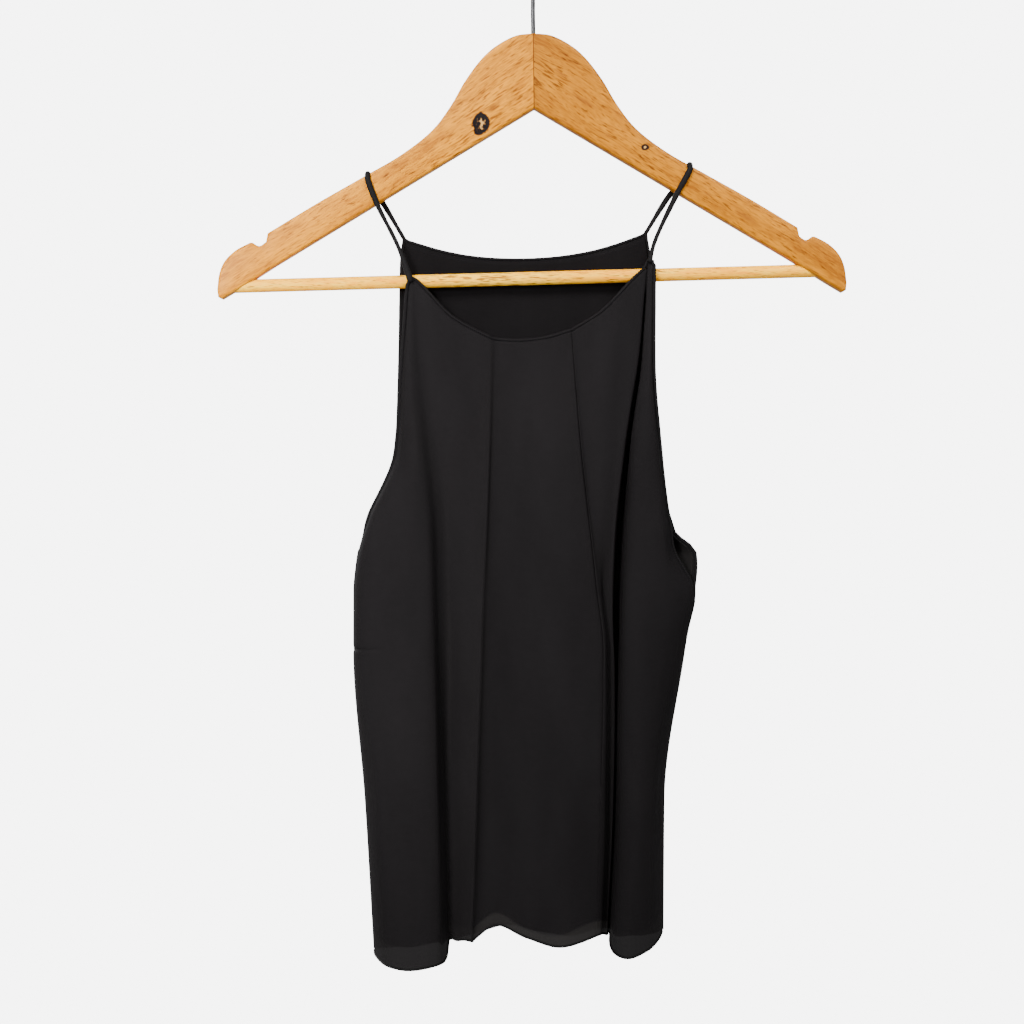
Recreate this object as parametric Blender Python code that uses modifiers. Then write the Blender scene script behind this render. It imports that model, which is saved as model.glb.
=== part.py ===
"""A sleeveless chiffon blouse with thin straps, hanging on a flat wooden hanger with a trouser bar.

Run it with blender --background --python part.py, or from Blender's text editor.
The origin is where a rail carries the hook. +X is to the right as seen from the front, the front faces
-Y and +Z is up. Sizes below are in millimetres; the mesh helpers turn them into metres.
"""
import math
from collections import namedtuple

import bmesh
import bpy
from mathutils import Matrix, Vector

MM = 0.001
COLLECTION = "Chiffon blouse on a hanger"

# Cloth
CHIFFON_WALL = 1.0
LINING_WALL = 1.0
LINING_INSET = 2.1          # middle of the chiffon's wall to middle of the lining's
SEAM_GAP = 0.6              # between the front's and the back's cut edges down each side
BINDING_RADIUS = 1.2
ARMHOLE_SPREAD = 1.4        # half the distance between a binding's two legs at the underarm
ARMHOLE_POINTS = 18         # points along each leg
ARMHOLE_CLEAR = 0.75        # from the panels' edges, which turn sharply at the underarm
STRAP_RADIUS = 1.5
STRAP_FOOT = 4.0            # the armhole bindings start this far below the straps' feet
TOUCH = 0.35                # what two pieces that meet keep between them

# Hanger
WOOD_HALF = 6.0             # half the thickness of the arms
WOOD_EDGE = 2.0             # rounding along the arms' edges
BAR_RADIUS = 4.65
BAR_HALF = 211.0            # from the middle to each end, inside its socket
BAR_HEIGHTS = {"left": -250.2, "right": -243.4}   # the bar isn't quite level in the arms
SOCKET_START = 170.0        # from the middle
WIRE_RADIUS = 1.6
HOOK_INNER = 19.0           # inner radius of the hook
STEM_END = -94.0
SOCKET_ROOM = 0.3
BORE_TOP = -60.0            # where the hook's bore is cut from, above the crown
HANGER_TILT = 0.63          # degrees; the left end hangs lower

# Heights shared by every fold line of the front and the back
HEIGHTS = {"bust": -368.0, "underarm": -427.0, "side": -465.0, "dart": -507.0, "waist": -612.0}
# Share of a fold's full depth that it has reached at each height
GROWTH = {"top": 0.0, "chest": 0.15, "bust": 0.38, "underarm": 0.60, "side": 0.70, "dart": 0.78,
          "waist": 0.92, "hem": 1.0}
PANEL_DEPTH = 8.0           # front and back panels stand this far from the bar's axis at the top
SEAM_DRIFT = 3.0            # how far back the side seams lie at the hem
UNDERARM = {"left": -432.0, "right": -468.0}
ARMHOLE_OPENS = 120.0       # above the underarm, the height over which the armhole opens fully
ARMHOLE_CURVE = 0.7         # power of the height that its opening follows
SEAM_DROP = 280.0           # below the underarm, the height over which the seams drift

FoldLine = namedtuple("FoldLine", "name top_x top_y top_z chest bust underarm side dart waist "
                                  "hem_x reach hem_z steps")
# One row for each ridge, groove or pleat of the front, from its left side seam to its right one: where it
# starts, how far across it lies at each height, where it ends at the hem and how far forward it stands
# there. steps is the number of mesh columns up to the next line.
FRONT_FOLDS = [FoldLine(*row) for row in [
    ("left edge", -84.6, -8, -248.8, -88.9, -93.2, -117.1, -124.9, -125.0, -117.0, -110.8, 3, -717.5, 1),
    ("left wrap", -83.9, -8, -248.8, -88.0, -91.5, -113.7, -121.3, -122.0, -114.3, -108.7, -14, -719.8, 2),
    ("left ridge", -83.2, -8, -248.8, -85.8, -86.9, -99.8, -104.5, -106.4, -103.5, -99.2, -34, -722.8, 2),
    ("left crest", -82.5, -8, -248.8, -83.7, -80.5, -84.3, -86.9, -88.1, -86.5, -83.7, -44, -723.9, 2),
    ("left shoulder", -81.8, -8, -248.8, -80.9, -74.4, -70.7, -69.9, -69.1, -68.3, -68.9, -38, -722.0, 2),
    ("groove lip", -81.1, -8, -248.8, -78.9, -70.4, -65.5, -64.0, -63.3, -61.2, -60.5, -22, -718.9, 2),
    ("groove floor", -79.7, -8, -249.5, -76.9, -68.6, -64.4, -63.0, -62.3, -58.8, -56.8, -8, -707.6, 2),
    ("small ridge", -72.7, -8, -257.9, -67.1, -60.1, -57.2, -56.5, -56.5, -54.0, -52.5, -15, -706.0, 2),
    ("bright strip", -55.9, -8, -275.3, -48.2, -46.0, -46.0, -46.6, -48.0, -47.9, -47.2, -25, -706.6, 2),
    ("left pleat edge", -28.0, -10.5, -290.2, -29.0, -30.0, -32.0, -34.1, -35.5, -38.9, -41.6, -29, -707.2, 1),
    ("left pleat step", -25.2, -8, -290.7, -26.9, -28.3, -30.0, -31.4, -32.8, -35.9, -38.3, -23, -704.9, 2),
    ("centre left", -16.8, -8, -291.4, -18.9, -20.3, -21.7, -22.4, -23.8, -25.1, -25.1, -19, -697.3, 2),
    ("centre trough", -5.7, -8, -291.4, -8.5, -10.6, -11.3, -11.3, -10.6, -7.1, -4.3, -17, -703.9, 3),
    ("centre ridge", 11.1, -8, -289.3, 13.2, 15.2, 17.9, 18.5, 19.2, 19.8, 19.8, -27, -709.7, 3),
    ("right pleat edge", 27.1, -10.5, -284.6, 30.2, 33.6, 40.1, 44.2, 48.7, 46.9, 44.0, -24, -702.7, 1),
    ("right pleat step", 30.0, -8, -283.0, 32.4, 36.1, 42.3, 47.2, 51.3, 50.6, 47.8, -17, -701.9, 2),
    ("wedge", 48.8, -8, -271.2, 50.9, 50.9, 50.8, 51.5, 53.3, 52.9, 49.4, -11, -702.3, 2),
    ("wedge edge", 68.4, -8, -250.9, 64.9, 59.3, 56.6, 55.2, 55.2, 54.0, 49.9, -6, -703.2, 2),
    ("big groove floor", 76.1, -8, -240.4, 72.6, 65.0, 60.2, 58.5, 57.5, 56.5, 52.3, -1, -705.5, 2),
    ("right lobe lip", 78.2, -8, -236.9, 75.3, 67.5, 62.6, 60.4, 59.7, 59.2, 55.0, -16, -711.3, 2),
    ("right shoulder", 79.6, -8, -235.5, 78.0, 72.1, 67.0, 65.5, 64.0, 62.0, 58.2, -31, -715.8, 2),
    ("right crest", 80.6, -8, -234.8, 80.0, 78.4, 76.5, 75.0, 74.1, 71.2, 66.2, -36, -717.2, 2),
    ("right ridge", 81.6, -8, -234.8, 81.1, 84.2, 88.6, 94.0, 90.4, 82.6, 79.1, -28, -713.6, 2),
    ("right wrap", 82.3, -8, -234.8, 81.9, 86.4, 93.2, 107.9, 102.4, 89.2, 88.3, -11, -708.5, 1),
    ("right edge", 83.0, -8, -234.8, 82.7, 87.5, 95.6, 112.8, 107.1, 92.6, 92.0, 3, -704.1, 0),
]]
FRONT_ROWS = 22
PLEAT_EDGES = ("left pleat edge", "right pleat edge")   # the lining has no pleats

BackEdge = namedtuple("BackEdge", "height left right")
# The back's outline: its width at each height, inside the bindings
BACK_EDGES = [BackEdge(*row) for row in [
    (-215.0, -87.2, 77.8),
    (-292.0, -90.6, 81.0),
    (-367.0, -93.1, 85.4),
    (-427.0, -115.5, 98.4),
    (-440.0, -121.0, 112.6),
    (-465.0, -124.9, 113.4),
    (-507.0, -125.0, 107.1),
    (-612.0, -117.0, 92.6),
    (-718.0, -110.8, 92.0),
]]
BackFold = namedtuple("BackFold", "across reach hem_z steps")
# Soft hanging folds of the back: share of the width, depth at the hem, height of the hem
BACK_FOLDS = [BackFold(*row) for row in [
    (0.00, 3, -717.5, 1),
    (0.03, 12, -718.5, 2),
    (0.12, 25, -719.5, 3),
    (0.24, 29, -717.0, 3),
    (0.36, 16, -708.5, 2),
    (0.46, 24, -704.5, 2),
    (0.56, 28, -708.0, 2),
    (0.68, 17, -711.0, 2),
    (0.80, 26, -707.0, 3),
    (0.91, 22, -711.5, 2),
    (0.97, 11, -708.0, 1),
    (1.00, 3, -704.1, 0),
]]
BACK_ROWS = 23
BACK_CORNERS = {"left": -220.0, "right": -216.0}
BACK_NECK_SAG = 15.5
BACK_NECK_FLATNESS = 2.2

FRONT_LINING_START = 5      # the row of the front where its lining starts, behind the bust
BACK_LINING_TOP = 0.008     # share of the back's drop where its lining starts, under the binding
LINING_TRIM = 2.0           # how far the linings' side edges stay inside the seams
SHARPEST_TURN = 0.6         # cosine of half the sharpest turn that is offset evenly
LINING_RISE = 10.0          # how far the lining stops short of the chiffon's hem
LOBE_RISE = 7.0             # what the folds add to that that stand out further than LOBE_REACH
LOBE_REACH = 24.0
LOBE_FULL = 12.0            # beyond LOBE_REACH, where the whole of it is added

# One arm of the hanger as a flat outline, before the hanger tilts. The left arm is a little longer than
# this and the right arm a little shorter.
ARM_STRETCH = {"left": 0.013, "right": -0.013}   # at ARM_REACH from the middle
ARM_REACH = 222.0
MITRE = 0.15                # half the gap where the arms meet
CROWN_TO_NOTCH = [(MITRE, -75.8), (12, -77.1), (26, -84.2), (36, -92.8), (48.3, -109.0), (58, -125.6),
                  (71, -142.6), (92.7, -159.6), (119, -174.7), (152, -193.4), (185.5, -213.6)]
NOTCH = [(186.8, -219.8), (191.4, -222.5), (195.8, -220.1)]
NOTCH_TO_TIP = [(197.8, -220.1), (207.9, -225.6), (215.3, -233.1), (218.8, -241.2), (220.4, -252.8)]
TIP_TO_APEX = [(219.8, -257.8), (217.0, -259.2), (202.2, -250.3), (180, -236.1), (MITRE, -128.4)]

# Where each strap crosses its arm, along the arm, and where it leaves the arm's lower edge
STRAP_CROSSES = {"left": -117.0, "right": 108.5}
STRAP_BENDS = {"left": [(-108.3, -195.7), (-93.7, -225.1)], "right": [(101.5, -188.0), (85.5, -222.5)]}


# ---------------------------------------------------------------- small tools

def smooth_value(knots, values, at):
    """Value at a place on the smooth curve through values over rising knots, with no overshoot."""
    if at <= knots[0]:
        return values[0]
    if at >= knots[-1]:
        return values[-1]
    spans = [b - a for a, b in zip(knots, knots[1:])]
    slopes = [(b - a) / span for a, b, span in zip(values, values[1:], spans)]
    tangents = [slopes[0]]
    for before, after in zip(slopes, slopes[1:]):
        tangents.append(2 * before * after / (before + after) if before * after > 0 else 0.0)
    tangents.append(slopes[-1])
    i = next(k for k in range(len(spans)) if at <= knots[k + 1])
    t = (at - knots[i]) / spans[i]
    return ((2 * t ** 3 - 3 * t ** 2 + 1) * values[i] + (t ** 3 - 2 * t ** 2 + t) * spans[i] * tangents[i]
            + (3 * t ** 2 - 2 * t ** 3) * values[i + 1] + (t ** 3 - t ** 2) * spans[i] * tangents[i + 1])


def curve_through(points, steps):
    """Points of the centripetal Catmull-Rom curve through points, steps[i] of them in span i."""
    ends = [2 * points[0] - points[1]] + list(points) + [2 * points[-1] - points[-2]]
    result = []
    for i in range(len(points) - 1):
        p0, p1, p2, p3 = ends[i:i + 4]
        t1 = max((p1 - p0).length, 1e-6) ** 0.5
        t2 = t1 + max((p2 - p1).length, 1e-6) ** 0.5
        t3 = t2 + max((p3 - p2).length, 1e-6) ** 0.5
        for k in range(steps[i]):
            t = t1 + (t2 - t1) * k / steps[i]
            a1 = p0.lerp(p1, t / t1)
            a2 = p1.lerp(p2, (t - t1) / (t2 - t1))
            a3 = p2.lerp(p3, (t - t2) / (t3 - t2))
            b1 = a1.lerp(a2, t / t2)
            b2 = a2.lerp(a3, (t - t1) / (t3 - t1))
            result.append(b1.lerp(b2, (t - t1) / (t2 - t1)))
    result.append(points[-1].copy())
    return result


def growth_at(height, top, hem):
    """Share of its full depth that a fold has reached at a height."""
    chest = (top + HEIGHTS["bust"]) / 2
    knots = [-top, -chest] + [-HEIGHTS[name] for name in HEIGHTS] + [-hem]
    return smooth_value(knots, list(GROWTH.values()), -height)


def side_seam_depth(height, side, facing):
    """Depth of a panel's edge: the armhole gapes above the underarm, and the seam closes below it.

    facing is -1 for the front and +1 for the back.
    """
    above = max(0.0, height - UNDERARM[side]) / ARMHOLE_OPENS
    gape = PANEL_DEPTH * min(1.0, above) ** ARMHOLE_CURVE
    below = max(0.0, UNDERARM[side] - height) / SEAM_DROP
    return SEAM_DRIFT * below + facing * (gape + SEAM_GAP / 2)


# ---------------------------------------------------------------- the blouse's surfaces, in millimetres

def front_line_point(line, drop):
    """Point of one fold line of the front, drop running from 0 at its top to 1 at its hem."""
    height = line.top_z + (line.hem_z - line.top_z) * drop
    chest = (line.top_z + HEIGHTS["bust"]) / 2
    knots = [-line.top_z, -chest] + [-level for level in HEIGHTS.values()] + [-line.hem_z]
    across = [line.top_x, line.chest, line.bust, line.underarm, line.side, line.dart, line.waist, line.hem_x]
    if line.name.endswith(" edge") and line.name.split()[0] in UNDERARM and "pleat" not in line.name:
        depth = side_seam_depth(height, line.name.split()[0], -1)
    else:
        depth = line.top_y + (line.reach - line.top_y) * growth_at(height, line.top_z, line.hem_z)
    return Vector((smooth_value(knots, across, -height), depth, height))


def front_row(drop, folds):
    """One row of the front's surface from side seam to side seam."""
    return curve_through([front_line_point(line, drop) for line in folds], [line.steps for line in folds])


def back_line_point(fold, drop):
    """Point of one fold line of the back, drop running from 0 at its top to 1 at its hem."""
    sag = BACK_NECK_SAG * (1 - abs(2 * fold.across - 1) ** BACK_NECK_FLATNESS)
    top = BACK_CORNERS["left"] * (1 - fold.across) + BACK_CORNERS["right"] * fold.across - sag
    height = top + (fold.hem_z - top) * drop
    knots = [-edge.height for edge in BACK_EDGES]
    left = smooth_value(knots, [edge.left for edge in BACK_EDGES], -height)
    right = smooth_value(knots, [edge.right for edge in BACK_EDGES], -height)
    if fold.across in (0.0, 1.0):
        depth = side_seam_depth(height, "left" if fold.across == 0.0 else "right", 1)
    else:
        depth = PANEL_DEPTH + (fold.reach - PANEL_DEPTH) * growth_at(height, top, fold.hem_z)
    return Vector((left + (right - left) * fold.across, depth, height))


def back_row(drop, folds):
    """One row of the back's surface from side seam to side seam."""
    return curve_through([back_line_point(fold, drop) for fold in folds], [fold.steps for fold in folds])


def front_grid():
    return [front_row(i / (FRONT_ROWS - 1), FRONT_FOLDS) for i in range(FRONT_ROWS)]


def back_grid():
    return [back_row(i / (BACK_ROWS - 1), BACK_FOLDS) for i in range(BACK_ROWS)]


def lining_hem(line, top_z):
    """Drop of a lining's hem on one fold line; it stops short of the chiffon's hem."""
    standing = min(1.0, max(0.0, (-line.reach - LOBE_REACH) / LOBE_FULL))
    return 1 - (LINING_RISE + LOBE_RISE * standing) / (top_z - line.hem_z)


def lined(rows, inward):
    """A lining's grid: a panel's rows moved inward and trimmed at their sides."""
    grid = moved(rows, inward * LINING_INSET)
    for row in grid:
        row[0] += (row[1] - row[0]).normalized() * LINING_TRIM
        row[-1] += (row[-2] - row[-1]).normalized() * LINING_TRIM
    return grid


def front_lining_grid():
    """The front's lining, with no pleats."""
    folds = list(FRONT_FOLDS)
    for i, line in enumerate(folds):
        if line.name in PLEAT_EDGES:
            folds[i] = line._replace(top_y=-PANEL_DEPTH, reach=folds[i + 1].reach)
    rows = [front_row(i / (FRONT_ROWS - 1), folds) for i in range(FRONT_LINING_START, FRONT_ROWS - 1)]
    hem = [front_line_point(line, lining_hem(line, line.top_z)) for line in folds]
    return lined(rows + [curve_through(hem, [line.steps for line in folds])], 1)


def back_lining_grid():
    """The back's lining, which shows inside the neck."""
    drops = [BACK_LINING_TOP] + [i / (BACK_ROWS - 1) for i in range(1, BACK_ROWS - 1)]
    hem = [back_line_point(fold, lining_hem(fold, BACK_CORNERS["left"])) for fold in BACK_FOLDS]
    rows = [back_row(drop, BACK_FOLDS) for drop in drops]
    return lined(rows + [curve_through(hem, [fold.steps for fold in BACK_FOLDS])], -1)


def moved(grid, distance):
    """The grid moved along its own normals, evenly also where a row turns sharply."""
    result = []
    for r, row in enumerate(grid):
        above, below = grid[max(r - 1, 0)], grid[min(r + 1, len(grid) - 1)]
        new_row = []
        for c, point in enumerate(row):
            before = (point - row[c - 1]).normalized() if c else (row[1] - point).normalized()
            after = (row[c + 1] - point).normalized() if c < len(row) - 1 else before
            half_turn = max(SHARPEST_TURN, math.sqrt(max(0.0, (1 + before.dot(after)) / 2)))
            normal = (before + after).cross(below[c] - above[c]).normalized()
            new_row.append(point + normal * distance / half_turn)
        result.append(new_row)
    return result


# ---------------------------------------------------------------- objects

def finish(name, colour, roughness, metallic=0.0):
    """A plain material."""
    material = bpy.data.materials.get(name) or bpy.data.materials.new(name)
    material.use_nodes = True
    shader = material.node_tree.nodes["Principled BSDF"]
    shader.inputs["Base Color"].default_value = (*colour, 1.0)
    shader.inputs["Roughness"].default_value = roughness
    shader.inputs["Metallic"].default_value = metallic
    return material


def place(obj, collection, material, parent=None):
    """Put an object in its collection, give it its material and parent it."""
    for other in list(obj.users_collection):
        other.objects.unlink(obj)
    collection.objects.link(obj)
    obj.data.materials.clear()
    obj.data.materials.append(material)
    obj.parent = parent
    return obj


def cloth_panel(name, grid, wall, collection, material):
    """An open surface through the grid, given its wall by Solidify."""
    mesh = bpy.data.meshes.new(name)
    columns = len(grid[0])
    corners = [point * MM for row in grid for point in row]
    faces = [(r * columns + c, (r + 1) * columns + c, (r + 1) * columns + c + 1, r * columns + c + 1)
             for r in range(len(grid) - 1) for c in range(columns - 1)]
    mesh.from_pydata(corners, [], faces)
    mesh.shade_smooth()
    obj = bpy.data.objects.new(name, mesh)
    wall_modifier = obj.modifiers.new("Wall", "SOLIDIFY")
    wall_modifier.thickness = wall * MM
    wall_modifier.offset = 0.0
    return place(obj, collection, material)


def tube(name, points, radius, collection, material, parent=None):
    """A round cord along points."""
    curve = bpy.data.curves.new(name, "CURVE")
    curve.dimensions = "3D"
    spline = curve.splines.new("POLY")
    spline.points.add(len(points) - 1)
    for knot, point in zip(spline.points, points):
        knot.co = (*(point * MM), 1.0)
    curve.bevel_depth = radius * MM
    curve.bevel_resolution = 2
    curve.use_fill_caps = True
    return place(bpy.data.objects.new(name, curve), collection, material, parent)


def outside(edge, distance, away):
    """A line in the XZ plane moved sideways by distance, on the side that faces the vector away."""
    points = []
    for i, point in enumerate(edge):
        run = edge[min(i + 1, len(edge) - 1)] - edge[max(i - 1, 0)]
        step = Vector((run.z, 0, -run.x)).normalized() * distance
        points.append(point + (step if step.dot(away) > 0 else -step))
    return points


def neck_binding(name, grid, first, last, collection, material):
    """A rolled binding along a panel's neckline, between two of its columns."""
    route = outside(grid[0][first:last], BINDING_RADIUS + TOUCH, Vector((0, 0, 1)))
    return tube(name, route, BINDING_RADIUS, collection, material)


def armhole_binding(name, side, front, back, collection, material):
    """A rolled binding down the front's armhole edge, round the underarm and up the back's."""
    end = 0 if side == "left" else -1
    away = Vector((-1 if side == "left" else 1, 0, 0))
    clear = CHIFFON_WALL / 2 + ARMHOLE_CLEAR + BINDING_RADIUS

    def leg(grid, facing):
        edge = [row[end] for row in grid]
        top = edge[0].z - STRAP_FOOT
        points = []
        for i in range(ARMHOLE_POINTS + 1):
            height = top + (UNDERARM[side] - top) * i / ARMHOLE_POINTS
            a, b = next((a, b) for a, b in zip(edge, edge[1:]) if b.z <= height)
            points.append(a.lerp(b, (a.z - height) / (a.z - b.z)))
        return [point + Vector((0, facing * ARMHOLE_SPREAD, 0)) for point in outside(points, clear, away)]

    down, up = leg(front, -1), leg(back, 1)
    turn = (down[-1] + up[-1]) / 2 + (down[-1] - down[-2]).normalized() * ARMHOLE_SPREAD
    turning = curve_through([down[-2], down[-1], turn, up[-1], up[-2]], [1, 2, 2, 1])
    return tube(name, down[:-2] + turning + up[-3::-1], BINDING_RADIUS, collection, material)


def tilted(point):
    """A point of the level hanger where it lies once the hanger tilts about the rail."""
    return Matrix.Rotation(math.radians(-HANGER_TILT), 3, "Y") @ point


def flat_outline(side):
    """The outline of the left or the right arm, level, across and up."""
    def smooth(corners, steps):
        return curve_through([Vector((x, z, 0)) for x, z in corners], [steps] * (len(corners) - 1))

    outline = (smooth(CROWN_TO_NOTCH, 2) + smooth(NOTCH, 3) + smooth(NOTCH_TO_TIP, 2)
               + [Vector((x, z, 0)) for x, z in TIP_TO_APEX])
    mirror = -1 if side == "left" else 1
    return [Vector((mirror * p.x * (1 + ARM_STRETCH[side] * p.x / ARM_REACH), p.y, 0)) for p in outline]


def arm_top(across):
    """Height of the level hanger's upper edge at a distance across it."""
    edge = flat_outline("left" if across < 0 else "right")
    for a, b in zip(edge, edge[1:]):
        if abs(a.x) <= abs(across) <= abs(b.x):
            return a.lerp(b, (across - a.x) / (b.x - a.x)).y
    raise ValueError("the strap crosses beyond the arm")


def strap(side, front_top, back_top, collection, material):
    """A thin strap from the front's corner, over the hanger's arm and down to the back's corner."""
    across = STRAP_CROSSES[side]
    slope = math.atan2(abs(arm_top(across - 2) - arm_top(across + 2)), 4)
    lift = (STRAP_RADIUS + TOUCH) / math.cos(slope)
    turn = WOOD_EDGE + STRAP_RADIUS + TOUCH
    centre_y = WOOD_HALF - WOOD_EDGE
    top = arm_top(across) + lift + STRAP_RADIUS * math.tan(slope) / 3

    def over(facing):
        points = []
        for degrees in (0, 30, 60, 90):
            a = math.radians(degrees)
            point = Vector((across, facing * (centre_y + turn * math.cos(a)), top - turn * (1 - math.sin(a))))
            points.append(tilted(point))
        return points

    rise = Vector((0, 0, TOUCH + STRAP_RADIUS / 2))
    front_run = [front_top + rise] + [Vector((x, -WOOD_HALF - STRAP_RADIUS - TOUCH, z))
                                      for x, z in STRAP_BENDS[side][::-1]]
    back_run = [Vector((across + (back_top.x - across) * 0.45, WOOD_HALF + STRAP_RADIUS + TOUCH,
                        top + (back_top.z - top) * 0.45)), back_top + rise]
    route = front_run + over(-1) + over(1)[::-1] + back_run
    return tube("strap_" + side, curve_through(route, [2] * (len(route) - 1)), STRAP_RADIUS, collection,
                material)


def solid_from_curve(curve_object):
    """A closed mesh object in place of a curve object."""
    graph = bpy.context.evaluated_depsgraph_get()
    mesh = bpy.data.meshes.new_from_object(curve_object.evaluated_get(graph))
    shape = bmesh.new()
    shape.from_mesh(mesh)
    bmesh.ops.remove_doubles(shape, verts=shape.verts, dist=0.00001)
    bmesh.ops.recalc_face_normals(shape, faces=shape.faces)
    shape.to_mesh(mesh)
    shape.free()
    name = curve_object.name
    matrix = curve_object.matrix_world.copy()
    bpy.data.objects.remove(curve_object)
    solid = bpy.data.objects.new(name, mesh)
    solid.matrix_world = matrix
    return solid


def rod(name, radius, start, end, vertices=24):
    """A round rod between two points."""
    shape = bmesh.new()
    run = (end - start) * MM
    bmesh.ops.create_cone(shape, cap_ends=True, segments=vertices, radius1=radius * MM, radius2=radius * MM,
                          depth=run.length)
    turn = Vector((0, 0, 1)).rotation_difference(run).to_matrix().to_4x4()
    bmesh.ops.transform(shape, matrix=Matrix.Translation((start + end) / 2 * MM) @ turn, verts=shape.verts)
    mesh = bpy.data.meshes.new(name)
    shape.to_mesh(mesh)
    shape.free()
    return bpy.data.objects.new(name, mesh)


def cutter(name, radius, start, end, collection, parent):
    """A hidden rod that cuts a socket."""
    obj = rod(name, radius, start, end)
    collection.objects.link(obj)
    obj.parent = parent
    obj.hide_render = True
    obj.display_type = "WIRE"
    return obj


def hanger_arm(side, collection, material, parent, cutters):
    """One flat arm with rounded edges, its bar socket and its half of the hook's bore."""
    name = "hanger_arm_" + side
    curve = bpy.data.curves.new(name, "CURVE")
    curve.dimensions = "2D"
    curve.fill_mode = "BOTH"
    curve.extrude = WOOD_HALF * MM
    spline = curve.splines.new("POLY")
    outline = flat_outline(side)
    spline.points.add(len(outline) - 1)
    for knot, point in zip(spline.points, outline):
        knot.co = (*(point * MM), 1.0)
    spline.use_cyclic_u = True
    flat = bpy.data.objects.new(name, curve)
    flat.rotation_euler = (math.radians(90), 0, 0)
    collection.objects.link(flat)
    bpy.context.view_layer.update()
    arm = solid_from_curve(flat)
    place(arm, collection, material, parent)
    rounding = arm.modifiers.new("Rounded edges", "BEVEL")
    rounding.width = WOOD_EDGE * MM
    rounding.segments = 2
    rounding.limit_method = "ANGLE"
    rounding.angle_limit = math.radians(60)
    for piece in cutters:
        cut = arm.modifiers.new(piece.name, "BOOLEAN")
        cut.object = piece
        cut.operation = "DIFFERENCE"
        cut.solver = "EXACT"
    arm.data.shade_smooth()
    arm.data.set_sharp_from_angle(angle=math.radians(35))
    return arm


def hook_route():
    """The hook's wire: a straight stem, a bend to the right, and a round crook open to the left."""
    radius = HOOK_INNER + WIRE_RADIUS
    centre = Vector((0, 0, WIRE_RADIUS - radius))
    points = [Vector((0, 0, STEM_END)), Vector((0, 0, -72)), Vector((0, 0, -56)), Vector((0.6, 0, -48)),
              Vector((5.0, 0, -40.6))]
    for degrees in range(-46, 206, 14):
        a = math.radians(degrees)
        points.append(centre + Vector((math.cos(a), 0, math.sin(a))) * radius)
    return curve_through(points, [1, 2, 2, 2, 2] + [1] * (len(points) - 6))


def build():
    for old in list(bpy.data.objects):
        bpy.data.objects.remove(old)
    model = bpy.data.collections.new(COLLECTION)
    cutting = bpy.data.collections.new("Cutters")
    bpy.context.scene.collection.children.link(model)
    bpy.context.scene.collection.children.link(cutting)

    chiffon = finish("Chiffon", (0.014, 0.013, 0.014), 0.75)
    lining = finish("Lining", (0.010, 0.009, 0.010), 0.8)
    trim = finish("Bias trim", (0.018, 0.017, 0.018), 0.6)
    wood = finish("Arm wood", (0.62, 0.31, 0.10), 0.42)
    bar_wood = finish("Bar wood", (0.72, 0.42, 0.17), 0.45)
    steel = finish("Steel wire", (0.55, 0.56, 0.58), 0.25, 1.0)

    front, back = front_grid(), back_grid()
    cloth_panel("front", front, CHIFFON_WALL, model, chiffon)
    cloth_panel("back", back, CHIFFON_WALL, model, chiffon)
    cloth_panel("front_lining", front_lining_grid(), LINING_WALL, model, lining)
    cloth_panel("back_lining", back_lining_grid(), LINING_WALL, model, lining)

    corner = {"left": sum(line.steps for line in FRONT_FOLDS[:6]),
              "right": sum(line.steps for line in FRONT_FOLDS[:19])}
    neck_binding("neck_binding_front", front, corner["left"] + 1, corner["right"], model, trim)
    neck_binding("neck_binding_back", back, 1, len(back[0]) - 1, model, trim)
    for side in ("left", "right"):
        armhole_binding("armhole_binding_" + side, side, front, back, model, trim)

    front_tops = {"left": front[0][corner["left"] // 2],
                  "right": front[0][(corner["right"] + len(front[0])) // 2]}
    back_tops = {"left": back[0][0] + Vector((STRAP_RADIUS, 0, 0)),
                 "right": back[0][-1] - Vector((STRAP_RADIUS, 0, 0))}
    for side in ("left", "right"):
        strap(side, front_tops[side], back_tops[side], model, trim)

    tilt = bpy.data.objects.new("hanger_tilt", None)
    tilt.rotation_euler = (0, math.radians(-HANGER_TILT), 0)
    model.objects.link(tilt)
    bore = cutter("hook_bore", WIRE_RADIUS + SOCKET_ROOM, Vector((0, 0, STEM_END - SOCKET_ROOM)),
                  Vector((0, 0, BORE_TOP)), cutting, tilt)
    ends = {"left": Vector((-BAR_HALF, 0, BAR_HEIGHTS["left"])),
            "right": Vector((BAR_HALF, 0, BAR_HEIGHTS["right"]))}
    middle = (ends["left"] + ends["right"]) / 2
    for side, end in ends.items():
        along = (end - middle).normalized()
        socket = cutter("bar_socket_" + side, BAR_RADIUS + SOCKET_ROOM, middle + along * SOCKET_START,
                        end + along * SOCKET_ROOM, cutting, tilt)
        hanger_arm(side, model, wood, tilt, [bore, socket])
    bar = rod("hanger_bar", BAR_RADIUS, ends["left"], ends["right"])
    bar.data.shade_smooth()
    bar.data.set_sharp_from_angle(angle=math.radians(35))
    place(bar, model, bar_wood, tilt)
    tube("hanger_hook", hook_route(), WIRE_RADIUS, model, steel, tilt)


build()
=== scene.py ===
"""Looks of the chiffon blouse on its wooden hanger: fine cloth shells, wood, wire, light and camera.

The tables repeat the CAD's own fold lines and outlines, in millimetres; every mesh is made in metres.
"""
import math
from collections import namedtuple

import bmesh
import bpy
from mathutils import Matrix, Vector, noise


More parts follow.
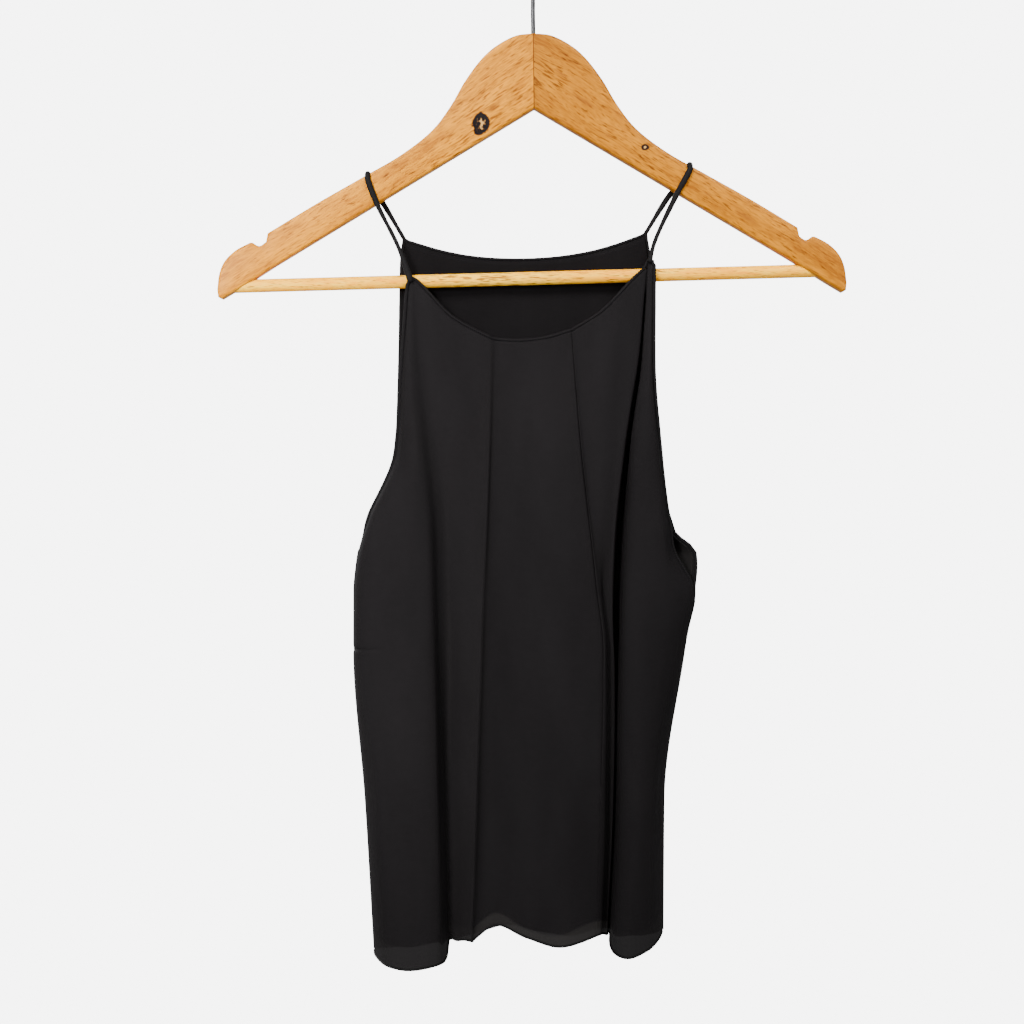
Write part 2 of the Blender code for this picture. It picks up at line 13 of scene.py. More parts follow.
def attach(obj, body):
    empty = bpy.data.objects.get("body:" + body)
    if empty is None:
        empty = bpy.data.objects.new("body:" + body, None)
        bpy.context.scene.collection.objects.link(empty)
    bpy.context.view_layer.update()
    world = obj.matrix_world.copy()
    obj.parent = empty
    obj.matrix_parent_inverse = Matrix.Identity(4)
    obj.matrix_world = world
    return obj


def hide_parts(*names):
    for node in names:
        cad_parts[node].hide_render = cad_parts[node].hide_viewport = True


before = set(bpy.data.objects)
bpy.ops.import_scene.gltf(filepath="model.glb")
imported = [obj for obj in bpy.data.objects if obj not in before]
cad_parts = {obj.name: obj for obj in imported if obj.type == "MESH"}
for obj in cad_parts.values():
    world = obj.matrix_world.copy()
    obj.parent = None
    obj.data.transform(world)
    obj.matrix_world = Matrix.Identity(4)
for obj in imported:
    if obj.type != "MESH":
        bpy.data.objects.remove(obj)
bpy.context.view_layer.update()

MM = 0.001

# ---------------- sizes, as in the CAD

LINING_INSET = 1.3  # from the chiffon to its lining
BINDING_RADIUS = 1.2
ARMHOLE_SPREAD = 0.4  # of the armhole binding's two legs from the cloth's edges
ARMHOLE_POINTS = 54
ARMHOLE_CLEAR = 0.75
CHIFFON_WALL = 1.0
STRAP_RADIUS = 1.5
STRAP_FOOT = 4.0  # below the cloth's corner, where the armhole's binding starts
STRAP_SINK = 1.3  # how far the soft strap flattens onto the wood
WOOD_HALF = 6.0  # half the hanger's thickness
WOOD_EDGE = 2.0  # the radius of its edges
WIRE_RADIUS = 1.6
HOOK_INNER = 19.0
STEM_END = -94.0
HANGER_TILT = 0.63  # degrees

# The heights at which a fold line's place is given, between its top and chest and its hem, and how deep
# its fold has grown at all eight
HEIGHTS = {"bust": -368.0, "underarm": -427.0, "side": -465.0, "dart": -507.0, "waist": -612.0}
GROWTH = [0.0, 0.15, 0.38, 0.60, 0.70, 0.78, 0.92, 1.0]
PANEL_DEPTH = 8.0  # how far the front and the back stand from the middle at the neck
SEAM_GAP = 0.6
SEAM_DRIFT = 3.0  # how far back the side seams run by the hem
UNDERARM = {"left": -432.0, "right": -468.0}
ARMHOLE_OPENS = 120.0  # the height over which an armhole opens to its full width
ARMHOLE_CURVE = 0.7
SEAM_DROP = 280.0

FoldLine = namedtuple("FoldLine", "name top_x top_y top_z chest bust underarm side dart waist "
                                  "hem_x reach hem_z steps")
# One row for each ridge, groove or pleat of the front, from its left side seam to its right one: where it
# starts, how far across it lies at each height, where it ends at the hem and how far forward it stands
# there. steps is the number of mesh columns up to the next line.
FRONT_FOLDS = [FoldLine(*row) for row in [
    ("left edge", -84.6, -8, -248.8, -88.9, -93.2, -117.1, -124.9, -125.0, -117.0, -110.8, 3, -717.5, 1),
    ("left wrap", -83.9, -8, -248.8, -88.0, -91.5, -113.7, -121.3, -122.0, -114.3, -108.7, -14, -719.8, 2),
    ("left ridge", -83.2, -8, -248.8, -85.8, -86.9, -99.8, -104.5, -106.4, -103.5, -99.2, -34, -722.8, 2),
    ("left crest", -82.5, -8, -248.8, -83.7, -80.5, -84.3, -86.9, -88.1, -86.5, -83.7, -44, -723.9, 2),
    ("left shoulder", -81.8, -8, -248.8, -81.2, -76.5, -72.0, -71.0, -69.6, -66.0, -64.7, -40, -720.9, 2),
    ("groove lip", -81.1, -8, -248.8, -77.9, -71.0, -65.9, -65.0, -64.3, -62.3, -59.6, -26, -718.6, 2),
    ("groove floor", -79.7, -8, -249.5, -74.2, -65.6, -59.9, -59.0, -58.6, -58.8, -57.2, -19, -706.4, 2),
    ("small ridge", -72.7, -8, -257.9, -67.5, -59.6, -54.9, -54.2, -53.9, -54.2, -52.5, -21, -707.6, 2),
    ("bright strip", -55.9, -8, -275.3, -48.2, -46.0, -46.0, -46.6, -48.0, -47.9, -47.2, -25, -706.6, 2),
    ("left pleat edge", -28.0, -9.4, -290.2, -29.0, -30.0, -32.0, -34.1, -35.5, -38.9, -41.6, -28, -707.2, 1),
    ("left pleat step", -25.2, -8, -290.7, -26.9, -28.3, -30.0, -31.4, -32.8, -35.9, -38.3, -24, -704.9, 2),
    ("centre left", -16.8, -8, -291.4, -18.9, -20.3, -21.7, -22.4, -23.8, -25.1, -25.1, -19, -697.3, 2),
    ("centre trough", -5.7, -8, -291.4, -8.5, -10.6, -11.3, -11.3, -10.6, -7.1, -4.3, -17, -706.4, 3),
    ("centre ridge", 11.1, -8, -289.3, 13.2, 15.2, 17.9, 18.5, 19.2, 19.8, 19.8, -27, -711.2, 3),
    ("right pleat edge", 27.1, -9.2, -284.6, 30.2, 33.6, 40.1, 44.2, 48.7, 46.9, 44.0, -22, -704.5, 1),
    ("right pleat step", 30.0, -8, -283.0, 32.4, 36.1, 42.3, 47.2, 51.3, 50.6, 47.8, -19, -703.7, 2),
    ("wedge", 48.8, -8, -271.2, 50.9, 50.9, 50.0, 49.0, 50.2, 50.4, 48.0, -13, -704.3, 2),
    ("wedge edge", 68.4, -6.4, -250.9, 64.9, 58.9, 55.4, 53.4, 54.0, 54.2, 50.2, -10.5, -705.0, 2),
    ("big groove floor", 76.1, -8, -240.4, 72.6, 65.0, 60.2, 58.5, 57.5, 56.5, 52.3, -1, -705.5, 2),
    ("right lobe lip", 78.2, -8, -236.9, 75.3, 67.5, 62.6, 60.4, 59.7, 59.2, 55.0, -16, -711.3, 2),
    ("right shoulder", 79.6, -8, -235.5, 78.0, 72.1, 67.0, 65.5, 64.0, 62.0, 58.2, -31, -715.8, 2),
    ("right crest", 80.6, -8, -234.8, 80.0, 78.4, 76.5, 75.0, 74.1, 71.2, 66.2, -36, -717.2, 2),
    ("right ridge", 81.6, -8, -234.8, 81.1, 84.2, 88.6, 94.0, 90.4, 82.6, 79.1, -28, -713.6, 2),
    ("right wrap", 82.3, -8, -234.8, 81.9, 86.4, 93.2, 107.9, 102.4, 89.2, 88.3, -11, -708.5, 1),
    ("right edge", 83.0, -8, -234.8, 82.7, 87.5, 95.6, 112.8, 107.1, 92.6, 92.0, 3, -704.1, 0),
]]

BackEdge = namedtuple("BackEdge", "height left right")
# The back's outline: its width at each height, inside the bindings
BACK_EDGES = [BackEdge(*row) for row in [
    (-215.0, -87.2, 77.8),
    (-236.0, -89.6, 80.6),
    (-292.0, -90.6, 81.0),
    (-367.0, -93.1, 85.4),
    (-427.0, -115.5, 98.4),
    (-440.0, -121.0, 112.6),
    (-465.0, -124.9, 113.4),
    (-507.0, -125.0, 107.1),
    (-612.0, -117.0, 92.6),
    (-718.0, -110.8, 92.0),
]]
BackFold = namedtuple("BackFold", "across reach hem_z steps")
# Soft hanging folds of the back: share of the width, depth at the hem, height of the hem
BACK_FOLDS = [BackFold(*row) for row in [
    (0.00, 3, -717.5, 1),
    (0.03, 12, -718.5, 2),
    (0.12, 25, -719.5, 3),
    (0.24, 29, -717.0, 3),
    (0.36, 16, -708.5, 2),
    (0.46, 24, -704.5, 2),
    (0.56, 28, -708.0, 2),
    (0.68, 17, -711.0, 2),
    (0.80, 26, -707.0, 3),
    (0.91, 22, -711.5, 2),
    (0.97, 11, -708.0, 1),
    (1.00, 3, -704.1, 0),
]]
BACK_CORNERS = {"left": -220.0, "right": -216.0}
BACK_NECK_SAG = 15.5
BACK_NECK_FLATNESS = 2.2

LINING_TRIM = 2.0  # how far inside the chiffon's side edges its lining ends
SHARPEST_TURN = 0.6  # the least cosine of half a turn that a lining follows
# How far above the chiffon's hem the lining ends, at each place across
LINING_RISES = [(-110.0, 8.5), (-28.0, 8.5), (-5.0, 6.0), (18.0, 8.0), (37.0, 10.8), (56.0, 8.5),
                (110.0, 8.5)]
LOBE_RISE = 7.0  # how much higher it ends in the two standing lobes
LOBE_REACH = 24.0  # a fold that stands further forward than this is part of a lobe
LOBE_FULL = 12.0

# One arm of the hanger as a flat outline, before the hanger tilts. The left arm is a little longer than
# this and the right arm a little shorter.
ARM_STRETCH = {"left": 0.013, "right": -0.013}  # at ARM_REACH from the middle
ARM_REACH = 222.0
MITRE = -3.0  # each arm's outline runs on past the middle, where it is then cut off square
CROWN_TO_NOTCH = [(MITRE, -75.7), (0, -75.8), (12, -77.1), (26, -84.2), (36, -92.8), (48.3, -109.0),
                  (58, -125.6), (71, -142.6), (92.7, -159.6), (119, -174.7), (152, -193.4), (185.5, -213.6)]
NOTCH = [(186.8, -219.8), (191.4, -222.5), (195.8, -220.1)]
NOTCH_TO_TIP = [(197.8, -220.1), (207.9, -225.6), (215.3, -233.1), (218.8, -241.2), (220.4, -252.8)]
TIP_TO_APEX = [(219.8, -257.8), (217.0, -259.2), (202.2, -250.3), (180, -236.1), (0, -128.3),
               (MITRE, -126.5)]

# Where each strap crosses its arm, along the arm, and where it leaves the arm's lower edge
STRAP_CROSSES = {"left": -117.0, "right": 108.5}
STRAP_BENDS = {"left": [(-108.3, -195.7), (-93.7, -225.1)], "right": [(101.5, -188.0), (85.5, -222.5)]}

# ---------------- the shells, finer than the CAD's walls

SHELL = 0.45  # thickness of the chiffon's shell
FRONT_FINE = 4  # mesh columns for each of the CAD's
FRONT_LINES = 170  # rows
DART_DROP = 0.55  # share of the front's drop where its bust dart lies
DART_LINES = 16
DART_STEP = 0.0018
HEM_FROM = 0.960  # share of the drop from which the hem's rows lie closer
HEM_LINES = 11
HEM_STEP = 0.0035
BACK_FINE = 6
BACK_LINES = 140
FRONT_LINING_FROM = 0.03  # share of the front's drop where its lining starts
FRONT_LINING_LINES = 150
BACK_LINING_FROM = 0.001  # and of the back's

Slit = namedtuple("Slit", "line widths depth lip")
# The crisp edges of the two pleats, cut into the chiffon just after a fold line: their width at each
# height, their depth and how far their far lip stands back
SLITS = [
    Slit("left pleat edge", [(-290, 0.0), (-330, 0.12), (-560, 0.2), (-706, 0.15)], 0.6, 0.3),
    Slit("right pleat edge", [(-284, 0.6), (-330, 0.9), (-480, 1.0), (-540, 0.7), (-600, 0.0)], 3.0, 0.5),
]
SLIT_OPEN = 0.3  # a slit at least this wide has its full depth

Groove = namedtuple("Groove", "height width depth shift")
# The deep groove beside the right standing fold: its size at each height and how far to the right of the
# fold line it lies. The fold's wall overhangs it, so it is black.
GROOVE = [Groove(*row) for row in [
    (-240, 1.0, 0.5, 2.7),
    (-251, 1.4, 1.0, 2.6),
    (-266, 1.8, 6.5, 2.4),
    (-310, 2.6, 10.0, 2.1),
    (-360, 4.0, 13.0, 1.5),
    (-430, 6.2, 16.0, 0.6),
    (-480, 5.4, 16.0, 0.8),
    (-520, 3.0, 14.0, 1.6),
    (-570, 1.7, 12.0, 1.5),
    (-620, 1.6, 11.0, 1.0),
    (-660, 1.8, 11.0, 0.8),
    (-705, 2.4, 10.0, 0.9),
]]
# Its section: how far across each point is and how deep, as shares of its width and its depth
GROOVE_STARTS = 0.3  # behind the fold line before it
GROOVE_DEEPEST = 0.05
GROOVE_SECTION = [(-0.50, 0.0), (-0.30, 0.6), (GROOVE_DEEPEST, 1.0), (0.60, 0.65)]
# The front's right armhole curves in further than its fold lines say, around this height
WING_PULL = {"right edge": 4.6, "right wrap": 4.1, "right ridge": 1.5}
WING_HEIGHT = -446.0
WING_SPAN = 24.0
ARMHOLE_REACH = 2.2  # how far the cloth's edge runs on under the armhole's binding
ARMHOLE_FADE = 22.0  # above the underarm, where the binding closes onto the side seam
SEAM_REACH = 1.5  # how far the edge still runs on at the underarm
SEAM_FADE = 26.0  # below the underarm, where it narrows to the side seam again
REACH_BLEND = 14.0  # width of the cloth that moves with its edge
FRONT_SEED = 3.1  # of the front's ripples
BACK_SEED = 7.7
BACK_RIPPLE = 24.0  # across one of the back's, roughly
RIPPLE_TOP = 0.12  # share of the drop over which the ripples set in
RIPPLE_SIDE = 0.04  # share of the width over which they do
CREASE_FADE = 0.6  # how much shallower a crease is at its far end
SWELL_LENGTH = 2.6  # from one thicker place of a cord to the next, roughly

# Painted light, where the cloth's colour is made lighter to stand in for light: below the lining's edge, for
# the light seen through the single chiffon, but hardly in the two lobes, and on the back's lining at the
# right underarm, to lighten its shade there
PAINTED_LIGHT_AMOUNT = 0.36
BAND_EDGE = 1.2  # half the height over which the painted light sets in at the lining's edge
LEFT_LOBE = (-55, -61)  # across, from where a lobe starts to where it is whole
RIGHT_LOBE = (51, 56)
LEFT_DIM = (-38, -43)  # the same for the cloth beside the left one, which gets less painted light
LOBE_DIM = 0.85
# painted light on the back's lining at the right underarm, where it lies in shade
WING_PAINTED_LIGHT = 0.28
WING_FROM = (98, 106)
WING_ABOVE = (-500, -480)

# Radii of the sewn cords, and what a strap adds where it is bunched over the hanger and where the front's
# bindings join it
NECK_GIRTH = 1.05
HEM_GIRTH = 0.85
SEAM_GIRTH = 0.6
STRAP_GIRTH = 1.45
STRAP_BUNCHED = 0.6
STRAP_JOINED = 0.8
HEM_LIFT = 0.25
ARMHOLE_CLOSED = 0.3  # how far outside the cloth's edge its binding runs at the underarm
NECK_BOUND = (-80.4, 77.6)  # across, where the front's neck binding starts and ends

FLOOR_HEIGHT = -2.6  # this and the next in metres
FLOOR_RADIUS = 5.0
WORLD_LIGHT = 0.70  # what the white surroundings light the object with
WORLD_WHITE = 6.5  # and how bright they look


# ---------------- curves

def smooth_value(knots, values, at):
    """Value at a place on the smooth curve through values over rising knots, with no overshoot."""
    if at <= knots[0]:
        return values[0]
    if at >= knots[-1]:
        return values[-1]
    spans = [b - a for a, b in zip(knots, knots[1:])]
    slopes = [(b - a) / span for a, b, span in zip(values, values[1:], spans)]
    tangents = [slopes[0]]
    for before, after in zip(slopes, slopes[1:]):
        tangents.append(2 * before * after / (before + after) if before * after > 0 else 0.0)
    tangents.append(slopes[-1])
    i = next(k for k in range(len(spans)) if at <= knots[k + 1])
    t = (at - knots[i]) / spans[i]
    return ((2 * t ** 3 - 3 * t ** 2 + 1) * values[i] + (t ** 3 - 2 * t ** 2 + t) * spans[i] * tangents[i]
            + (3 * t ** 2 - 2 * t ** 3) * values[i + 1] + (t ** 3 - t ** 2) * spans[i] * tangents[i + 1])


def table_value(rows, at, column=1):
    """The value of a table's column at a place on its first column, which rises or falls."""
    way = 1 if rows[0][0] < rows[-1][0] else -1
    return smooth_value([way * row[0] for row in rows], [row[column] for row in rows], way * at)


def curve_through(points, steps):
    """Points of the centripetal Catmull-Rom curve through points, steps[i] of them in span i."""
    ends = [2 * points[0] - points[1]] + list(points) + [2 * points[-1] - points[-2]]
    result = []
    for i in range(len(points) - 1):
        p0, p1, p2, p3 = ends[i:i + 4]
        t1 = max((p1 - p0).length, 1e-6) ** 0.5
        t2 = t1 + max((p2 - p1).length, 1e-6) ** 0.5
        t3 = t2 + max((p3 - p2).length, 1e-6) ** 0.5
        for k in range(steps[i]):
            t = t1 + (t2 - t1) * k / steps[i]
            a1 = p0.lerp(p1, t / t1)
            a2 = p1.lerp(p2, (t - t1) / (t2 - t1))
            a3 = p2.lerp(p3, (t - t2) / (t3 - t2))
            b1 = a1.lerp(a2, t / t2)
            b2 = a2.lerp(a3, (t - t1) / (t3 - t1))
            result.append(b1.lerp(b2, (t - t1) / (t2 - t1)))
    result.append(points[-1].copy())
    return result


def eased(low, high, value):
    """0 below low, 1 above high and smooth between."""
    t = min(1.0, max(0.0, (value - low) / (high - low)))
    return t * t * (3 - 2 * t)


# ---------------- the cloth's surfaces

def at_height(height, top, hem, values):
    """One of a fold line's values, given from its top to its hem, at a height."""
    chest = (top + HEIGHTS["bust"]) / 2
    knots = [-top, -chest] + [-level for level in HEIGHTS.values()] + [-hem]
    return smooth_value(knots, values, -height)


def side_seam_depth(height, side, facing):
    """How far back a side edge lies: closed below the underarm, and open above it. The front faces -1."""
    above = max(0.0, height - UNDERARM[side]) / ARMHOLE_OPENS
    gape = PANEL_DEPTH * min(1.0, above) ** ARMHOLE_CURVE
    below = max(0.0, UNDERARM[side] - height) / SEAM_DROP
    return SEAM_DRIFT * below + facing * (gape + SEAM_GAP / 2)


def front_line_point(line, drop):
    """The point of a fold line at a share of its drop from the neck to the hem."""
    height = line.top_z + (line.hem_z - line.top_z) * drop
    place = height, line.top_z, line.hem_z
    across = [line.top_x, line.chest, line.bust, line.underarm, line.side, line.dart, line.waist, line.hem_x]
    if line.name in ("left edge", "right edge"):
        depth = side_seam_depth(height, line.name.split()[0], -1)
    else:
        depth = line.top_y + (line.reach - line.top_y) * at_height(*place, GROWTH)
    pull = WING_PULL.get(line.name, 0.0) * (1 - eased(0, WING_SPAN, abs(height - WING_HEIGHT)))
    return Vector((at_height(*place, across) - pull, depth, height))


def front_row(drops, folds, deep_only=False):
    """One row of the front through its fold lines, its slits and its groove, or with only the groove."""
    row, counts = [], []

    def put(columns, *places):
        row.extend(places)
        counts.extend([columns] * len(places))

    for line, drop in zip(folds, drops):
        point, columns = front_line_point(line, drop), line.steps * FRONT_FINE
        slit = next((s for s in SLITS if s.line == line.name and not deep_only), None)
        if slit:
            width = table_value(slit.widths, point.z)
            opening = min(1.0, width / SLIT_OPEN)
            put(2, point, point + Vector((width * 0.3, slit.depth * 0.8 * opening, 0)),
                point + Vector((width * 0.6, slit.depth * opening, 0)))
            put(columns, point + Vector((width, slit.lip * opening, 0)))
        elif line.name == "big groove floor":
            gap, depth, shift = (table_value(GROOVE, point.z, column) for column in (1, 2, 3))
            wall, middle = row[-1].y + GROOVE_STARTS, point.x + shift
            put(3, *(Vector((middle + gap * across, wall + depth * deep, point.z))
                     for across, deep in GROOVE_SECTION))
        elif line.name == "right lobe lip":
            # half the groove's width from its middle, and so a little less from its deepest point
            put(columns, Vector((row[-2].x + gap * (0.5 - GROOVE_DEEPEST), point.y, point.z)))
        else:
            put(columns, point)
    return curve_through(row, counts)


def outside(edge, distances, away):
    """A line moved within the XZ plane, each point by its distance, to the side of the vector away."""
    points = []
    for i, (point, distance) in enumerate(zip(edge, distances)):
        run = edge[min(i + 1, len(edge) - 1)] - edge[max(i - 1, 0)]
        step = Vector((run.z, 0, -run.x)).normalized() * distance
        points.append(point + (step if step.dot(away) > 0 else -step))
    return points


def above_underarm(side, height):
    """0 at the underarm and 1 where the armhole's binding has its full place outside the cloth."""
    return eased(UNDERARM[side], UNDERARM[side] + ARMHOLE_FADE, height)


def reaching(grid):
    """The grid with its edges run on under the armholes' bindings."""
    for side, end, outward in (("left", 0, -1), ("right", -1, 1)):
        edge = [row[end].copy() for row in grid]
        reaches = [max(ARMHOLE_REACH * above_underarm(side, point.z),
                       SEAM_REACH * eased(UNDERARM[side] - SEAM_FADE, UNDERARM[side] - 2, point.z))
                   for point in edge]
        for row, old, new in zip(grid, edge, outside(edge, reaches, Vector((outward, 0, 0)))):
            for point in row:
                point += (new - old) * (1 - eased(0, REACH_BLEND, abs(point.x - old.x)))
    return grid


def back_line_point(fold, drop):
    """The point of one of the back's folds at a share of its drop."""
    sag = BACK_NECK_SAG * (1 - abs(2 * fold.across - 1) ** BACK_NECK_FLATNESS)
    top = BACK_CORNERS["left"] * (1 - fold.across) + BACK_CORNERS["right"] * fold.across - sag
    height = top + (fold.hem_z - top) * drop
    left, right = (table_value(BACK_EDGES, height, column) for column in (1, 2))
    if fold.across in (0.0, 1.0):
        depth = side_seam_depth(height, "left" if fold.across == 0.0 else "right", 1)
    else:
        depth = PANEL_DEPTH + (fold.reach - PANEL_DEPTH) * at_height(height, top, fold.hem_z, GROWTH)
    return Vector((left + (right - left) * fold.across, depth, height))


def back_row(drops, folds):
    """One row of the back, from its left side seam to its right one."""
    return curve_through([back_line_point(fold, drop) for fold, drop in zip(folds, drops)],
                         [fold.steps * BACK_FINE for fold in folds])


def lining_rise(across):
    """How far above the chiffon's hem its lining ends at a place across."""
    return table_value(LINING_RISES, across)


def even_drops(start, ends, lines):
    """The drops of each fold line in each row, spread evenly from start to the line's own end."""
    return [[start + (end - start) * (i / (lines - 1)) for end in ends] for i in range(lines)]


def lining_hem(line, top_z, across):
    """The share of a fold line's drop where the lining ends."""
    standing = min(1.0, max(0.0, (-line.reach - LOBE_REACH) / LOBE_FULL))
    return 1 - (lining_rise(across) + LOBE_RISE * standing) / (top_z - line.hem_z)


def normals_of(grid):
    """The unit normal at each point of a grid, and how sharply its row turns there."""
    result = []
    for r, row in enumerate(grid):
        above, below = grid[max(r - 1, 0)], grid[min(r + 1, len(grid) - 1)]
        line = []
        for c, point in enumerate(row):
            before = (point - row[c - 1]).normalized() if c else (row[1] - point).normalized()
            after = (row[c + 1] - point).normalized() if c < len(row) - 1 else before
            half_turn = max(SHARPEST_TURN, math.sqrt(max(0.0, (1 + before.dot(after)) / 2)))
            line.append(((before + after).cross(below[c] - above[c]).normalized(), half_turn))
        result.append(line)
    return result


def moved(grid, distance):
    """The grid moved along its own normals, evenly also where a row turns sharply."""
    return [[point + normal * distance / half_turn for point, (normal, half_turn) in zip(row, line)]
            for row, line in zip(grid, normals_of(grid))]


def lined(rows, inward):
    """A lining's grid, a little narrower than its chiffon's. inward is 1 for the front, -1 for the back."""
    grid = moved(rows, inward * LINING_INSET)
    for row in grid:
        row[0] += (row[1] - row[0]).normalized() * LINING_TRIM
        row[-1] += (row[-2] - row[-1]).normalized() * LINING_TRIM
    return grid


def rippled(grid, amount, seed, across=17.0, along=120.0):
    """The grid with the soft uneven ripples of hanging cloth, none at its top and side edges."""
    lines = normals_of(grid)
    last = len(grid[0]) - 1
    result = []
    for r, (row, line) in enumerate(zip(grid, lines)):
        fade_in = eased(0.0, RIPPLE_TOP, r / (len(grid) - 1))
        new_row = []
        for c, (point, (normal, _)) in enumerate(zip(row, line)):
            place = Vector((point.x / across + seed, seed * 0.7, point.z / along))
            wave = noise.noise(place) + 0.45 * noise.noise(Vector((place.x * 2.3, place.y, place.z * 1.6)))
            fade = fade_in * eased(0.0, RIPPLE_SIDE, min(c, last - c) / last)
            new_row.append(point + normal * wave * amount * fade)
        result.append(new_row)
    return result


def creased(grid, marks):
    """The grid with short creases pressed in: each from one point to another, its width and its depth."""
    lines = normals_of(grid)
    for start, end, width, depth in marks:
        start, end = Vector((start[0], 0, start[1])), Vector((end[0], 0, end[1]))
        run = end - start
        for row, line in zip(grid, lines):
            for c, point in enumerate(row):
                flat = Vector((point.x, 0, point.z))
                share = max(0.0, min(1.0, (flat - start).dot(run) / run.length_squared))
                off = (flat - start - run * share).length
                if off < width:
                    fade = (1 - off / width) ** 2 * (1 - CREASE_FADE * share)
                    row[c] = point + line[c][0] * depth * fade
    return grid


# ---------------- meshes

def link(obj, material):
    """Adds a piece to the scene and to the body."""
    bpy.context.scene.collection.objects.link(obj)
    obj.data.materials.append(material)
    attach(obj, "root")


def map_cloth(mesh, places):
    """Gives a mesh its UV map from the place of each of its points."""
    layer = mesh.uv_layers.new(name="Cloth")
    for loop in mesh.loops:
        layer.data[loop.index].uv = places[loop.vertex_index]


def painted_hem_light(point, bottom):
    """How much painted light lightens the chiffon at a point, for light seen through it below the lining.
    bottom is the point of the hem below it.
    """
    lobe = max(eased(*LEFT_LOBE, bottom.x), eased(*RIGHT_LOBE, bottom.x))
    rise = lining_rise(bottom.x) + LOBE_RISE * lobe
    below = eased(rise + BAND_EDGE, rise - BAND_EDGE, point.z - bottom.z)
    dim = max(eased(*LEFT_DIM, bottom.x), eased(*RIGHT_LOBE, bottom.x))
    return PAINTED_LIGHT_AMOUNT * below * (1 - LOBE_DIM * dim)


def painted_underarm_light(point, bottom):
    """The same painted light for the back's lining, lightening its shade at the right underarm, wherever its
    hem is.
    """
    return WING_PAINTED_LIGHT * eased(*WING_FROM, point.x) * eased(*WING_ABOVE, point.z)


def sheet_mesh(name, grid, material, lighter=None):
    """A thin shell through the grid, with the cloth's own lengths in metres as its UV map and, from lighter,
    its painted light.
    """
    columns = len(grid[0])
    mesh = bpy.data.meshes.new(name)
    corners = [point * MM for row in grid for point in row]
    faces = [(r * columns + c, (r + 1) * columns + c, (r + 1) * columns + c + 1, r * columns + c + 1)
             for r in range(len(grid) - 1) for c in range(columns - 1)]
    mesh.from_pydata(corners, [], faces)
    middle = columns // 2
    places = []
    down = 0.0
    for r, row in enumerate(grid):
        if r:
            down -= (row[middle] - grid[r - 1][middle]).length * MM
        along = [0.0]
        for a, b in zip(row, row[1:]):
            along.append(along[-1] + (b - a).length * MM)
        places += [(u - along[middle], down) for u in along]
    map_cloth(mesh, places)
    # painted light: the share of a lighter tone that each point's colour is given
    band = mesh.attributes.new("Painted_light", "FLOAT", "POINT")
    if lighter:
        for i in range(len(corners)):
            band.data[i].value = lighter(grid[i // columns][i % columns], grid[-1][i % columns])
    mesh.shade_smooth()
    obj = bpy.data.objects.new(name, mesh)
    wall = obj.modifiers.new("Wall", "SOLIDIFY")
    wall.thickness = SHELL * MM
    wall.offset = 0.0
    link(obj, material)


def tube_mesh(name, points, radius, material, sides=14, uneven=0.0):
    """A cord along points, a little uneven as a sewn one is. radius may be a function of the point."""
    tangents = []
    for i in range(len(points)):
        tangents.append((points[min(i + 1, len(points) - 1)] - points[max(i - 1, 0)]).normalized())
    side = tangents[0].orthogonal().normalized()
    mesh = bpy.data.meshes.new(name)
    corners, places, length = [], [], 0.0
    for i, (point, tangent) in enumerate(zip(points, tangents)):
        side = (side - tangent * side.dot(tangent)).normalized()
        other = tangent.cross(side)
        if i:
            length += (point - points[i - 1]).length
        girth = radius(point) if callable(radius) else radius
        swell = 1 + uneven * noise.noise(Vector((length / SWELL_LENGTH, 3.6, 0)))
        for k in range(sides):
            a = 2 * math.pi * k / sides
            corners.append((point + (side * math.cos(a) + other * math.sin(a)) * girth * swell) * MM)
            places.append((a * girth * MM, length * MM))
    faces = []
    for i in range(len(points) - 1):
        for k in range(sides):
            faces.append((i * sides + k, i * sides + (k + 1) % sides,
                          (i + 1) * sides + (k + 1) % sides, (i + 1) * sides + k))
    faces.append(tuple(range(sides))[::-1])
    faces.append(tuple(range((len(points) - 1) * sides, len(points) * sides)))
    mesh.from_pydata(corners, [], faces)
    map_cloth(mesh, places)
    mesh.shade_smooth()
    link(bpy.data.objects.new(name, mesh), material)


# ---------------- materials

